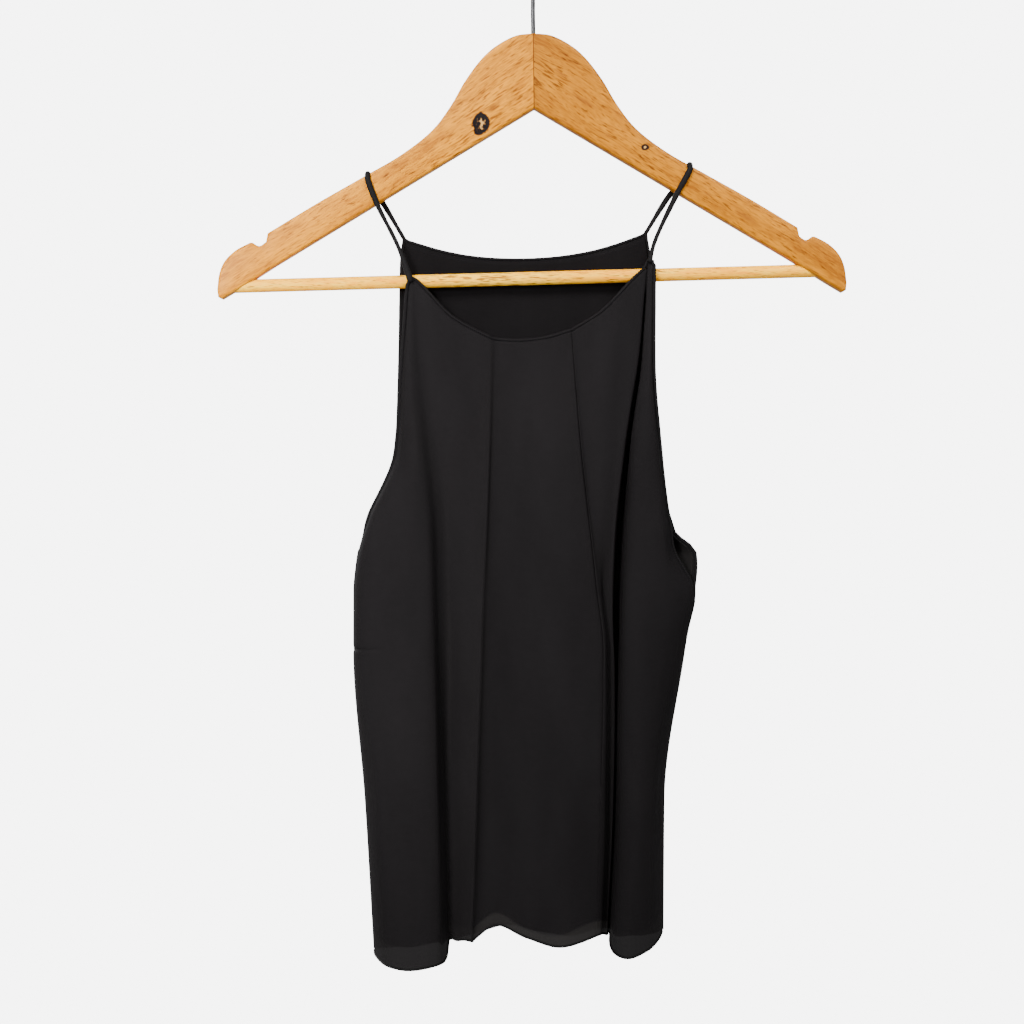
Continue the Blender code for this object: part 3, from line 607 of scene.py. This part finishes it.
class Shader:
    """A Principled material and short ways to add nodes to it."""

    def __init__(self, name, **sockets):
        self.material = bpy.data.materials.new(name)
        self.material.use_nodes = True
        self.tree = self.material.node_tree
        self.main = self.tree.nodes["Principled BSDF"]
        for socket, value in sockets.items():
            self.main.inputs[socket.replace("_", " ")].default_value = value

    def add(self, kind, inputs=(), **settings):
        node = self.tree.nodes.new(kind)
        for name, value in settings.items():
            setattr(node, name, value)
        for name, value in dict(inputs).items():
            if isinstance(value, bpy.types.NodeSocket):
                self.tree.links.new(value, node.inputs[name])
            else:
                node.inputs[name].default_value = value
        return node

    def join(self, output, socket):
        self.tree.links.new(output, self.main.inputs[socket])

    def scaled(self, source, scale, turn=(0, 0, 0), shift=(0, 0, 0)):
        node = self.add("ShaderNodeMapping", {"Scale": scale, "Rotation": turn, "Location": shift,
                                              "Vector": source})
        return node.outputs["Vector"]

    def noise(self, source, scale, detail, output="Fac", shift=(0, 0, 0), roughness=0.5):
        place = self.scaled(source, scale, shift=shift)
        node = self.add("ShaderNodeTexNoise", {"Vector": place, "Scale": 1.0, "Detail": detail,
                                               "Roughness": roughness})
        return node.outputs[output]

    def spread(self, value, low, high, **limits):
        """The value from 0 to 1, or from From_Min to From_Max, spread from low to high."""
        limits = {name.replace("_", " "): limit for name, limit in limits.items()}
        node = self.add("ShaderNodeMapRange", {"Value": value, "To Min": low, "To Max": high, **limits})
        return node.outputs["Result"]

    def vectors(self, operation, *values, output="Vector"):
        return self.add("ShaderNodeVectorMath", dict(enumerate(values)), operation=operation).outputs[output]

    def maths(self, operation, *values):
        node = self.add("ShaderNodeMath", dict(enumerate(values)), operation=operation)
        return node.outputs[0]

    def total(self, *parts):
        """The sum of outputs, each times its share."""
        products = [self.maths("MULTIPLY", output, share) for output, share in parts]
        while len(products) > 1:
            products.append(self.maths("ADD", products.pop(), products.pop()))
        return products[0]

    def ramp(self, factor, *stops):
        """A colour for each place on the factor. A colour that is one number is a grey."""
        node = self.add("ShaderNodeValToRGB", {"Fac": factor})
        elements = node.color_ramp.elements
        while len(elements) < len(stops):
            elements.new(0.5)
        for element, (place, colour) in zip(elements, stops):
            element.position = place
            element.color = (*(colour if isinstance(colour, tuple) else (colour,) * 3), 1.0)
        return node.outputs["Color"]

    def mixed(self, factor, first, second, blend="MIX"):
        first, second = ((*c, 1.0) if isinstance(c, tuple) else c for c in (first, second))
        node = self.add("ShaderNodeMix", {0: factor, 6: first, 7: second}, data_type="RGBA", blend_type=blend)
        return node.outputs[2]

    def bump(self, height, strength, distance, under=None):
        inputs = {"Height": height, "Strength": strength, "Distance": distance}
        if under is not None:
            inputs["Normal"] = under
        return self.add("ShaderNodeBump", inputs).outputs["Normal"]


PAINTED_LIGHT_TONE = (0.031, 0.029, 0.0272)  # painted light: the chiffon's colour where it hangs alone against the light, lighter to stand in for the light seen through it
WAVE_SCALE = 0.314  # of a wave texture with one band to the metre


def cloth_material(name, dark, light, pitch, slub, relief, roughness, **sockets):
    """A plain weave: two sets of threads, their slubs in colour and height, soft uneven wear and painted
    light.
    """
    shader = Shader(name, Roughness=roughness, **sockets)
    uv = shader.add("ShaderNodeUVMap", uv_map="Cloth").outputs["UV"]
    warp, weft = (shader.add("ShaderNodeTexWave", {"Vector": uv, "Scale": WAVE_SCALE / apart,
                                                   "Distortion": 1.2, "Detail Scale": 0.6},
                             bands_direction=direction).outputs["Fac"]
                  for apart, direction in ((pitch, "X"), (pitch * 1.08, "Y")))
    weave = shader.maths("MULTIPLY", warp, weft)
    slubs = shader.maths("ADD", shader.noise(uv, (1600, 60, 1), 3.0), shader.noise(uv, (60, 1600, 1), 3.0))
    cloud = shader.noise(uv, (26, 9, 1), 4.0)
    tone = shader.total((slubs, 0.5 * slub), (cloud, 1 - slub))
    colour = shader.ramp(tone, (0.30, dark), (0.70, light))
    # painted light: the colour is mixed towards a lighter tone as far as the mesh's attribute says
    band = shader.add("ShaderNodeAttribute", attribute_name="Painted_light").outputs["Fac"]
    shader.join(shader.mixed(band, colour, PAINTED_LIGHT_TONE), "Base Color")
    shader.join(shader.spread(cloud, roughness - 0.06, min(1.0, roughness + 0.06)), "Roughness")
    soft = shader.bump(cloud, 0.25, 0.0006)
    height = shader.total((weave, 1.0), (slubs, 0.6))
    shader.join(shader.bump(height, relief, 0.00005, soft), "Normal")
    return shader.material


def marked(shader, angle, world, colour, height, mark):
    """The colour and the height of wood with a mark in them: a knot, or a streak or fleck along the grain.
    A mark has its place across and up, its half width, its half height and its kind."""
    x, z, half_wide, half_high, kind = mark
    flat = shader.scaled(world, (1, 0, 1), shift=(-x * MM, 0, -z * MM))
    if kind in ("streak", "fleck"):
        flat = shader.scaled(flat, (1, 1, 1), (0, math.radians(angle), 0))
    flat = shader.scaled(flat, (1 / (half_wide * MM), 0.0, 1 / (half_high * MM)))
    ragged = shader.vectors("ADD", shader.noise(world, (230, 230, 230), 3.0, "Color"), (-0.5, -0.5, -0.5))
    jitter = shader.vectors("MULTIPLY", ragged, (0.75, 0.75, 0.75))
    radius = shader.vectors("LENGTH", shader.vectors("ADD", flat, jitter), output="Value")
    if kind == "knot":
        halo = shader.ramp(radius, (0.9, (0.46, 0.24, 0.10)), (1.6, 1))
        colour = shader.mixed(0.8, colour, halo, "MULTIPLY")
        black = (0.004, 0.002, 0.002)
        inside = shader.ramp(shader.noise(world, (330, 1, 250), 2.0), (0.50, black),
                             (0.55, (0.12, 0.05, 0.012)), (0.63, (0.52, 0.29, 0.085)))
        inside = shader.mixed(shader.ramp(radius, (0.54, 0), (0.70, 1)), inside, black)
        colour = shader.mixed(shader.ramp(radius, (0.90, 1), (1.0, 0)), colour, inside)
        height = shader.maths("SUBTRACT", height, shader.ramp(radius, (0.7, 1.5), (1.0, 0)))
    elif kind == "small knot":
        black = (0.012, 0.005, 0.003)
        ring = shader.ramp(radius, (0.24, (0.46, 0.25, 0.07)), (0.38, black), (0.70, black),
                           (1.0, (0.12, 0.04, 0.006)))
        colour = shader.mixed(shader.ramp(radius, (0.75, 1), (1.1, 0)), colour, ring)
    else:
        dark = (0.20, 0.055, 0.004) if kind == "streak" else (0.22, 0.065, 0.006)
        colour = shader.mixed(shader.ramp(radius, (0.25, 0.75), (1.0, 0)), colour, dark)
    return colour, height


def wood_material(name, angle, pale, mid, deep, marks=(), mitred=True):
    """Varnished wood with its pores and marks, and with its grain at an angle in the XZ plane."""
    shader = Shader(name, Roughness=0.42, Coat_Weight=0.02, Coat_Roughness=0.25, Specular_IOR_Level=0.08)
    world = shader.add("ShaderNodeTexCoord").outputs["Object"]
    turned = shader.scaled(world, (1, 1, 1), (0, math.radians(angle), 0))
    wander = shader.noise(turned, (7, 30, 30), 3.0)
    bend = shader.add("ShaderNodeCombineXYZ", {"Z": shader.maths("MULTIPLY", wander, 0.016),
                                               "Y": shader.maths("MULTIPLY", wander, 0.007)}).outputs[0]
    bent = shader.vectors("ADD", turned, bend)
    rings = shader.noise(bent, (5, 120, 170), 4.0, roughness=0.6)
    fibres = shader.noise(bent, (95, 700, 780), 3.0, roughness=0.65)
    pores = shader.add("ShaderNodeTexVoronoi", {"Vector": shader.scaled(bent, (130, 800, 900)),
                                                "Scale": 1.0}).outputs["Distance"]
    patches = shader.noise(turned, (14, 30, 34), 2.0)
    tone = shader.total((rings, 0.32), (fibres, 0.44), (patches, 0.24))
    colour = shader.ramp(tone, (0.39, deep), (0.49, mid), (0.58, pale))
    dots = shader.ramp(pores, (0.08, (0.50, 0.38, 0.22)), (0.33, 1))
    colour = shader.mixed(0.85, colour, dots, "MULTIPLY")
    dashes = shader.noise(bent, (120, 1050, 1100), 2.0, shift=(3, 5, 7))
    # plainer wood towards the ends of the arms
    sideways = shader.maths("ABSOLUTE", shader.add("ShaderNodeSeparateXYZ", {0: world}).outputs["X"])
    plainer = shader.spread(sideways, 0.0, 0.045, From_Min=0.07, From_Max=0.16)
    dense = shader.total((dashes, 1.0), (patches, 0.25), (plainer, -1.0))
    colour = shader.mixed(1.0, colour, shader.ramp(dense, (0.68, 1), (0.79, (0.36, 0.27, 0.15))), "MULTIPLY")
    height = shader.total((fibres, 0.7), (pores, 0.3))
    for mark in marks:
        colour, height = marked(shader, angle, world, colour, height, mark)
    if mitred:
        # the fine dark line where the two arms meet
        level = shader.scaled(world, (1, 1, 1), (0, math.radians(HANGER_TILT), 0))
        middle = shader.maths("ABSOLUTE", shader.add("ShaderNodeSeparateXYZ", {0: level}).outputs["X"])
        seam = shader.ramp(shader.maths("MULTIPLY", middle, 1000.0), (0.2, (0.32, 0.22, 0.13)), (0.5, 1))
        colour = shader.mixed(1.0, colour, seam, "MULTIPLY")
    shader.join(colour, "Base Color")
    shader.join(shader.spread(tone, 0.50, 0.34, From_Min=0.3, From_Max=0.7), "Roughness")
    shader.join(shader.bump(height, 0.35, 0.00025), "Normal")
    return shader.material


def steel_material(name):
    """Drawn steel wire: fine lines along it and a little dulling."""
    shader = Shader(name, Metallic=1.0, Roughness=0.28)
    world = shader.add("ShaderNodeTexCoord").outputs["Object"]
    drawn = shader.noise(world, (2600, 2600, 60), 2.0)
    dull = shader.noise(world, (90, 90, 90), 3.0)
    shader.join(shader.ramp(dull, (0.3, (0.05, 0.05, 0.052)), (0.7, (0.085, 0.085, 0.087))), "Base Color")
    shader.join(shader.spread(drawn, 0.30, 0.50), "Roughness")
    shader.join(shader.bump(drawn, 0.15, 0.00005), "Normal")
    return shader.material


# thread pitch in metres, slubs, relief and roughness
chiffon = cloth_material("Chiffon", (0.0067, 0.0060, 0.0063), (0.0108, 0.0098, 0.0103), 0.00045, 0.5, 0.35,
                         0.88, Specular_IOR_Level=0.02, Alpha=0.965)
lining = cloth_material("Lining", (0.0039, 0.0034, 0.0036), (0.0066, 0.0059, 0.0062), 0.00030, 0.4, 0.25,
                        0.8, Specular_IOR_Level=0.02)
trim = cloth_material("Bias trim", (0.0053, 0.0047, 0.0050), (0.0090, 0.0082, 0.0086), 0.00045, 0.5, 0.45,
                      0.8, Specular_IOR_Level=0.04)
cord = cloth_material("Bias cord", (0.0036, 0.0032, 0.0034), (0.0068, 0.0061, 0.0064), 0.00045, 0.5, 0.45,
                      0.8, Specular_IOR_Level=0.12)
# painted light and painted shade: the left arm's wood is given lighter colours and the right arm's darker
# ones, as more light falls on the left
left_wood_painted_lit = wood_material("Left arm wood", 33, (0.68, 0.258, 0.001), (0.54, 0.197, 0.0), (0.36, 0.114, 0.0), [
    (-35.8, -139.5, 6.3, 8.4, "knot"),
    (-27, -128, 7, 2.6, "streak"),
    (-168.5, -206.3, 1.6, 0.8, "fleck"),
    (-70, -158, 6, 1.0, "fleck"),
])
right_wood_painted_shade = wood_material("Right arm wood", -33, (0.49, 0.180, 0.001), (0.385, 0.134, 0.0),
                           (0.255, 0.076, 0.0), [
    (79.0, -155.6, 3.2, 2.7, "small knot"),
    (37.0, -124.0, 13, 2.4, "streak"),
    (53.4, -147.6, 4.5, 1.0, "fleck"),
    (122.8, -188.3, 5, 1.1, "fleck"),
    (150, -205, 12, 2.2, "streak"),
    (62, -133, 9, 0.9, "fleck"),
    (20, -104, 8, 0.8, "fleck"),
])
bar_wood = wood_material("Bar wood", 0, (0.99, 0.56, 0.04), (0.98, 0.45, 0.01), (0.90, 0.32, 0.0),
                         mitred=False)
steel = steel_material("Steel wire")

# ---------------- the blouse

# even rows, and closer ones round the bust dart and down the sheer band at the hem
drops = sorted([i / (FRONT_LINES - 1) for i in range(FRONT_LINES)]
               + [DART_DROP + (i - DART_LINES / 2 + 0.3) * DART_STEP for i in range(DART_LINES)]
               + [HEM_FROM + (i + 0.4) * HEM_STEP for i in range(HEM_LINES)])
lining_folds = list(FRONT_FOLDS)
for i, line in enumerate(FRONT_FOLDS):
    if line.name in ("left pleat edge", "right pleat edge"):
        lining_folds[i] = line._replace(top_y=-PANEL_DEPTH, reach=FRONT_FOLDS[i + 1].reach)

front = [front_row([drop] * len(FRONT_FOLDS), FRONT_FOLDS) for drop in drops]
front_cloth = reaching(rippled(front, 0.7, FRONT_SEED))
# the bust dart that shows on the left: from its side seam in towards the bust
front_cloth = creased(front_cloth, [((-126.0, -506.8), (-104.0, -505.6), 2.8, 1.5)])
sheet_mesh("front_cloth", front_cloth, chiffon, painted_hem_light)

hem_drops = [lining_hem(line, line.top_z, line.hem_x) for line in lining_folds]
rows = [front_row(places, lining_folds, deep_only=True)
        for places in even_drops(FRONT_LINING_FROM, hem_drops, FRONT_LINING_LINES)]
front_lining_cloth = reaching(rippled(lined(rows, 1), 0.35, FRONT_SEED))
sheet_mesh("front_lining_cloth", front_lining_cloth, lining)

back = [back_row(places, BACK_FOLDS) for places in even_drops(0.0, [1.0] * len(BACK_FOLDS), BACK_LINES)]
back_cloth = reaching(rippled(back, 0.9, BACK_SEED, across=BACK_RIPPLE))
sheet_mesh("back_cloth", back_cloth, chiffon, painted_hem_light)
hem_drops = [lining_hem(fold, BACK_CORNERS["left"],
                        BACK_EDGES[-1].left + (BACK_EDGES[-1].right - BACK_EDGES[-1].left) * fold.across)
             for fold in BACK_FOLDS]
rows = [back_row(places, BACK_FOLDS) for places in even_drops(BACK_LINING_FROM, hem_drops, BACK_LINES)]
back_lining_cloth = reaching(rippled(lined(rows, -1), 0.5, BACK_SEED, across=BACK_RIPPLE))
sheet_mesh("back_lining_cloth", back_lining_cloth, lining, painted_underarm_light)


def column_at(row, across):
    """The mesh column of a row nearest to a place across it."""
    return min(range(len(row)), key=lambda c: abs(row[c].x - across))


first, last = (column_at(front[0], across) for across in NECK_BOUND)
# where the bindings run together and go on as the straps
above_edge = Vector((0, -0.6, 1.6))
FRONT_FEET = {"left": front_cloth[0][first // 2] + above_edge,
              "right": front_cloth[0][(last + len(front[0])) // 2] + above_edge}
BACK_FEET = {"left": back[0][0] + Vector((-2.3, 0, 1.8)), "right": back[0][-1] + Vector((2.3, 0, 1.8))}


def neck_route(edge, feet):
    """The middle line of a neck binding, seated on the cloth's edge between its two feet."""
    raised = outside(edge, [BINDING_RADIUS * 0.6] * len(edge), Vector((0, 0, 1)))
    return [feet["left"]] + raised + [feet["right"]]


tube_mesh("front_neck_binding", neck_route(front_cloth[0][first:last:2], FRONT_FEET), NECK_GIRTH, trim,
          uneven=0.10)
tube_mesh("back_neck_binding", neck_route(back_cloth[0][3:-3:2], BACK_FEET), NECK_GIRTH, trim,
          uneven=0.10)

# narrow rolled hems and the side seams
for name, grid in (("front_rolled_hem", front_cloth), ("back_rolled_hem", back_cloth)):
    route = [point + Vector((0, 0, HEM_LIFT)) for point in grid[-1][1:-1]]
    tube_mesh(name, route, HEM_GIRTH, cord, sides=10, uneven=0.08)
for side, end in (("left", 0), ("right", -1)):
    seam = []
    for point in [row[end] for row in front_cloth[::2]]:
        if point.z < UNDERARM[side] - 2:
            seam.append((point + min((row[end] for row in back_cloth), key=lambda p: abs(p.z - point.z))) / 2)
    tube_mesh("side_seam_" + side, seam, SEAM_GIRTH, chiffon, sides=8)


def armhole_route(side):
    """The middle line of an armhole's binding: down the front's edge, round the underarm, up the back's."""
    end = 0 if side == "left" else -1
    away = Vector((-1 if side == "left" else 1, 0, 0))
    clear = CHIFFON_WALL / 2 + ARMHOLE_CLEAR + BINDING_RADIUS

    def leg(grid, facing):
        edge = [row[end] for row in grid]
        top = edge[0].z - STRAP_FOOT
        points = []
        for i in range(ARMHOLE_POINTS + 1):
            height = top + (UNDERARM[side] - top) * i / ARMHOLE_POINTS
            a, b = next((a, b) for a, b in zip(edge, edge[1:]) if b.z <= height)
            points.append(a.lerp(b, (a.z - height) / (a.z - b.z)))
        places = [ARMHOLE_CLOSED + (clear - ARMHOLE_CLOSED) * above_underarm(side, point.z)
                  for point in points]
        return [point + Vector((0, facing * ARMHOLE_SPREAD, 0)) for point in outside(points, places, away)]

    down, up = leg(front, -1), leg(back, 1)
    turn = (down[-1] + up[-1]) / 2 + (down[-1] - down[-2]).normalized() * ARMHOLE_SPREAD
    turning = curve_through([down[-2], down[-1], turn, up[-1], up[-2]], [1, 4, 4, 1])
    return [FRONT_FEET[side]] + down[:-2] + turning + up[-3::-1] + [BACK_FEET[side]]


for side in ("left", "right"):
    tube_mesh(side + "_armhole_binding", armhole_route(side), BINDING_RADIUS, trim, uneven=0.08)

# ---------------- the straps and the hanger


def tilted(point):
    """A place on the level hanger, turned with the hanger as it hangs."""
    return Matrix.Rotation(math.radians(-HANGER_TILT), 3, "Y") @ point


def flat_outline(side, fine):
    """The outline of the left or the right arm, level, across and up."""
    def smooth(corners, steps):
        return curve_through([Vector((x, z, 0)) for x, z in corners], [steps] * (len(corners) - 1))

    outline = (smooth(CROWN_TO_NOTCH, fine) + smooth(NOTCH, fine) + smooth(NOTCH_TO_TIP, fine)
               + [Vector((x, z, 0)) for x, z in TIP_TO_APEX])
    mirror = -1 if side == "left" else 1
    return [Vector((mirror * p.x * (1 + ARM_STRETCH[side] * p.x / ARM_REACH), p.y, 0)) for p in outline]


def arm_top(across):
    """The height of the level hanger's upper edge at a place across."""
    edge = flat_outline("left" if across < 0 else "right", 2)
    for a, b in zip(edge, edge[1:]):
        if abs(a.x) <= abs(across) <= abs(b.x):
            return a.lerp(b, (across - a.x) / (b.x - a.x)).y
    raise ValueError("the strap crosses beyond the arm")


def strap_route(side, front_foot, back_foot):
    """The middle line of a strap from its front foot, over the hanger's arm and down to its back one."""
    across = STRAP_CROSSES[side]
    slope = math.atan2(abs(arm_top(across - 2) - arm_top(across + 2)), 4)
    lift = STRAP_RADIUS / math.cos(slope)
    turn = WOOD_EDGE + STRAP_RADIUS
    centre_y = WOOD_HALF - WOOD_EDGE
    top = arm_top(across) + lift - STRAP_SINK

    def over(facing):
        points = []
        for degrees in (0, 30, 60, 90):
            a = math.radians(degrees)
            points.append(tilted(Vector((across, facing * (centre_y + turn * math.cos(a)),
                                         top - turn * (1 - math.sin(a))))))
        return points

    front_run = [front_foot - Vector((0, 0.3, 3.0))] + [Vector((x, -WOOD_HALF - STRAP_RADIUS, z))
                                                        for x, z in STRAP_BENDS[side][::-1]]
    back_run = [Vector((across + (back_foot.x - across) * 0.45, WOOD_HALF + STRAP_RADIUS,
                        top + (back_foot.z - top) * 0.45)), back_foot]
    route = front_run + over(-1) + over(1)[::-1] + back_run
    return curve_through(route, [9] * (len(route) - 1))


def strap_girth(point):
    """A strap's radius at a point of it."""
    foot = eased(-226, -246, point.z) if point.y < 0 else 0.0
    return STRAP_GIRTH + STRAP_BUNCHED * eased(-212, -188, point.z) + STRAP_JOINED * foot


for side in ("left", "right"):
    route = strap_route(side, FRONT_FEET[side], BACK_FEET[side])
    tube_mesh(side + "_strap", route, strap_girth, cord, uneven=0.12)


def hanger_arm(side, material):
    """One arm with its rounded edges, finer than the CAD's."""
    curve = bpy.data.curves.new("arm", "CURVE")
    curve.dimensions = "2D"
    curve.fill_mode = "BOTH"
    curve.extrude = (WOOD_HALF - WOOD_EDGE) * MM
    curve.bevel_depth = WOOD_EDGE * MM
    curve.bevel_resolution = 4
    curve.offset = -WOOD_EDGE * MM
    spline = curve.splines.new("POLY")
    outline = flat_outline(side, 5)
    spline.points.add(len(outline) - 1)
    for knot, point in zip(spline.points, outline):
        knot.co = (*(point * MM), 1.0)
    spline.use_cyclic_u = True
    flat = bpy.data.objects.new("arm", curve)
    bpy.context.scene.collection.objects.link(flat)
    graph = bpy.context.evaluated_depsgraph_get()
    mesh = bpy.data.meshes.new_from_object(flat.evaluated_get(graph))
    bpy.data.objects.remove(flat)
    shape = bmesh.new()
    shape.from_mesh(mesh)
    bmesh.ops.remove_doubles(shape, verts=shape.verts, dist=0.00001)
    cut = bmesh.ops.bisect_plane(shape, geom=shape.verts[:] + shape.edges[:] + shape.faces[:], dist=0.000001,
                                 plane_co=(0, 0, 0), plane_no=(-1 if side == "left" else 1, 0, 0),
                                 clear_inner=True)
    edges = [item for item in cut["geom_cut"] if isinstance(item, bmesh.types.BMEdge)]
    bmesh.ops.contextual_create(shape, geom=edges)
    shape.transform(Matrix.Rotation(math.radians(-HANGER_TILT), 4, "Y")
                    @ Matrix.Rotation(math.radians(90), 4, "X"))
    bmesh.ops.recalc_face_normals(shape, faces=shape.faces)
    shape.to_mesh(mesh)
    shape.free()
    mesh.materials.clear()
    mesh.shade_smooth()
    mesh.set_sharp_from_angle(angle=math.radians(40))
    link(bpy.data.objects.new(side + "_arm", mesh), material)


hanger_arm("left", left_wood_painted_lit)
hanger_arm("right", right_wood_painted_shade)


def hook_route():
    """The middle line of the wire: up out of its bore, past the set-back and round the crook."""
    radius = HOOK_INNER + WIRE_RADIUS
    centre = Vector((0, 0, WIRE_RADIUS - radius))
    points = [Vector((0, 0, STEM_END)), Vector((0, 0, -72)), Vector((0, 0, -56)), Vector((0.6, 0, -48)),
              Vector((5.0, 0, -40.6))]
    for degrees in range(-46, 206, 14):
        a = math.radians(degrees)
        points.append(centre + Vector((math.cos(a), 0, math.sin(a))) * radius)
    return [tilted(p) for p in curve_through(points, [4, 8, 8, 8, 8] + [4] * (len(points) - 6))]


tube_mesh("wire_hook", hook_route(), WIRE_RADIUS, steel, sides=20)

# ---------------- which CAD solid each piece stands for

PIECE_FOR = {"front_cloth": "front", "back_cloth": "back", "front_lining_cloth": "front_lining",
             "back_lining_cloth": "back_lining", "front_neck_binding": "neck_binding_front",
             "back_neck_binding": "neck_binding_back", "left_armhole_binding": "armhole_binding_left",
             "right_armhole_binding": "armhole_binding_right", "left_strap": "strap_left",
             "right_strap": "strap_right", "left_arm": "hanger_arm_left", "right_arm": "hanger_arm_right",
             "wire_hook": "hanger_hook"}
for piece, node in PIECE_FOR.items():
    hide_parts(node)
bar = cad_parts["hanger_bar"]
for slot in bar.material_slots:
    slot.material = bar_wood

# ---------------- the sheets of cloth


def cut_size(grid):
    """The width, length and area of the cloth in metres, measured along its folds and waves."""
    def run(points):
        return sum((b - a).length for a, b in zip(points, points[1:])) * MM

    area = sum((b - a).cross(c - a).length + (c - a).cross(d - a).length
               for upper, lower in zip(grid, grid[1:])
               for a, b, c, d in zip(upper, upper[1:], lower[1:], lower)) / 2
    return (max(run(row) for row in grid), max(run(column) for column in zip(*grid))), area * MM * MM


for piece, grid, sewn_on in [
        ("front_cloth", front_cloth, ["front_neck_binding", "front_rolled_hem", "side_seam_left",
                                      "side_seam_right", "left_armhole_binding", "right_armhole_binding"]),
        ("back_cloth", back_cloth, ["back_neck_binding", "back_rolled_hem"]),
        ("front_lining_cloth", front_lining_cloth, []),
        ("back_lining_cloth", back_lining_cloth, [])]:
    flat, area = cut_size(grid)

# ---------------- floor, light and camera

floor_mesh = bpy.data.meshes.new("floor")
rim = [(FLOOR_RADIUS * math.cos(math.radians(a)), FLOOR_RADIUS * math.sin(math.radians(a)), FLOOR_HEIGHT)
       for a in range(0, 360, 2)]
floor_mesh.from_pydata(rim, [], [tuple(range(len(rim)))])
floor = bpy.data.objects.new("floor", floor_mesh)
bpy.context.scene.collection.objects.link(floor)
pale = Shader("Pale floor", Base_Color=(0.92, 0.92, 0.92, 1.0), Roughness=0.9, Specular_IOR_Level=0.1)
floor.data.materials.append(pale.material)


def soft_light(name, place, size, power, aim=(0.0, 0.0, -0.4), spread=180):
    """A round soft lamp that the camera doesn't see."""
    lamp = bpy.data.lights.new(name, "AREA")
    lamp.shape = "DISK"
    lamp.size = size
    lamp.energy = power
    lamp.spread = math.radians(spread)
    obj = bpy.data.objects.new(name, lamp)
    obj.location = place
    obj.rotation_euler = (Vector(aim) - Vector(place)).to_track_quat("-Z", "Y").to_euler()
    obj.visible_camera = False
    bpy.context.scene.collection.objects.link(obj)


soft_light("key", (-0.85, -1.5, -0.12), 0.7, 5.6, aim=(-0.45, 0.0, -0.48), spread=33)
soft_light("left arm", (-0.45, -0.9, 0.45), 0.5, 1.5, aim=(-0.08, 0.0, -0.08), spread=38)
soft_light("right arm", (0.5, -0.8, 0.5), 0.5, 1.75, aim=(0.32, 0.0, -0.17), spread=38)
soft_light("fill", (1.2, -2.2, 0.0), 1.8, 8)
soft_light("rim", (-1.1, 1.7, 0.5), 0.9, 70)

world = bpy.data.worlds.new("Studio")
world.use_nodes = True
backdrop = world.node_tree.nodes["Background"]
backdrop.inputs["Color"].default_value = (1.0, 1.0, 1.0, 1.0)
seen = world.node_tree.nodes.new("ShaderNodeLightPath")
strength = world.node_tree.nodes.new("ShaderNodeMapRange")
strength.inputs["To Min"].default_value = WORLD_LIGHT
strength.inputs["To Max"].default_value = WORLD_WHITE
world.node_tree.links.new(seen.outputs["Is Camera Ray"], strength.inputs["Value"])
world.node_tree.links.new(strength.outputs["Result"], backdrop.inputs["Strength"])
bpy.context.scene.world = world

# level and square on, 1.6 m in front of the hanger, framed as the photograph is
camera = bpy.data.objects.new("camera", bpy.data.cameras.new("camera"))
camera.location = (-0.01404, -1.6, -0.41085)
camera.rotation_euler = (math.radians(90), 0, 0)
camera.data.sensor_width = 36
camera.data.lens = 80.13
bpy.context.scene.collection.objects.link(camera)
bpy.context.scene.camera = camera
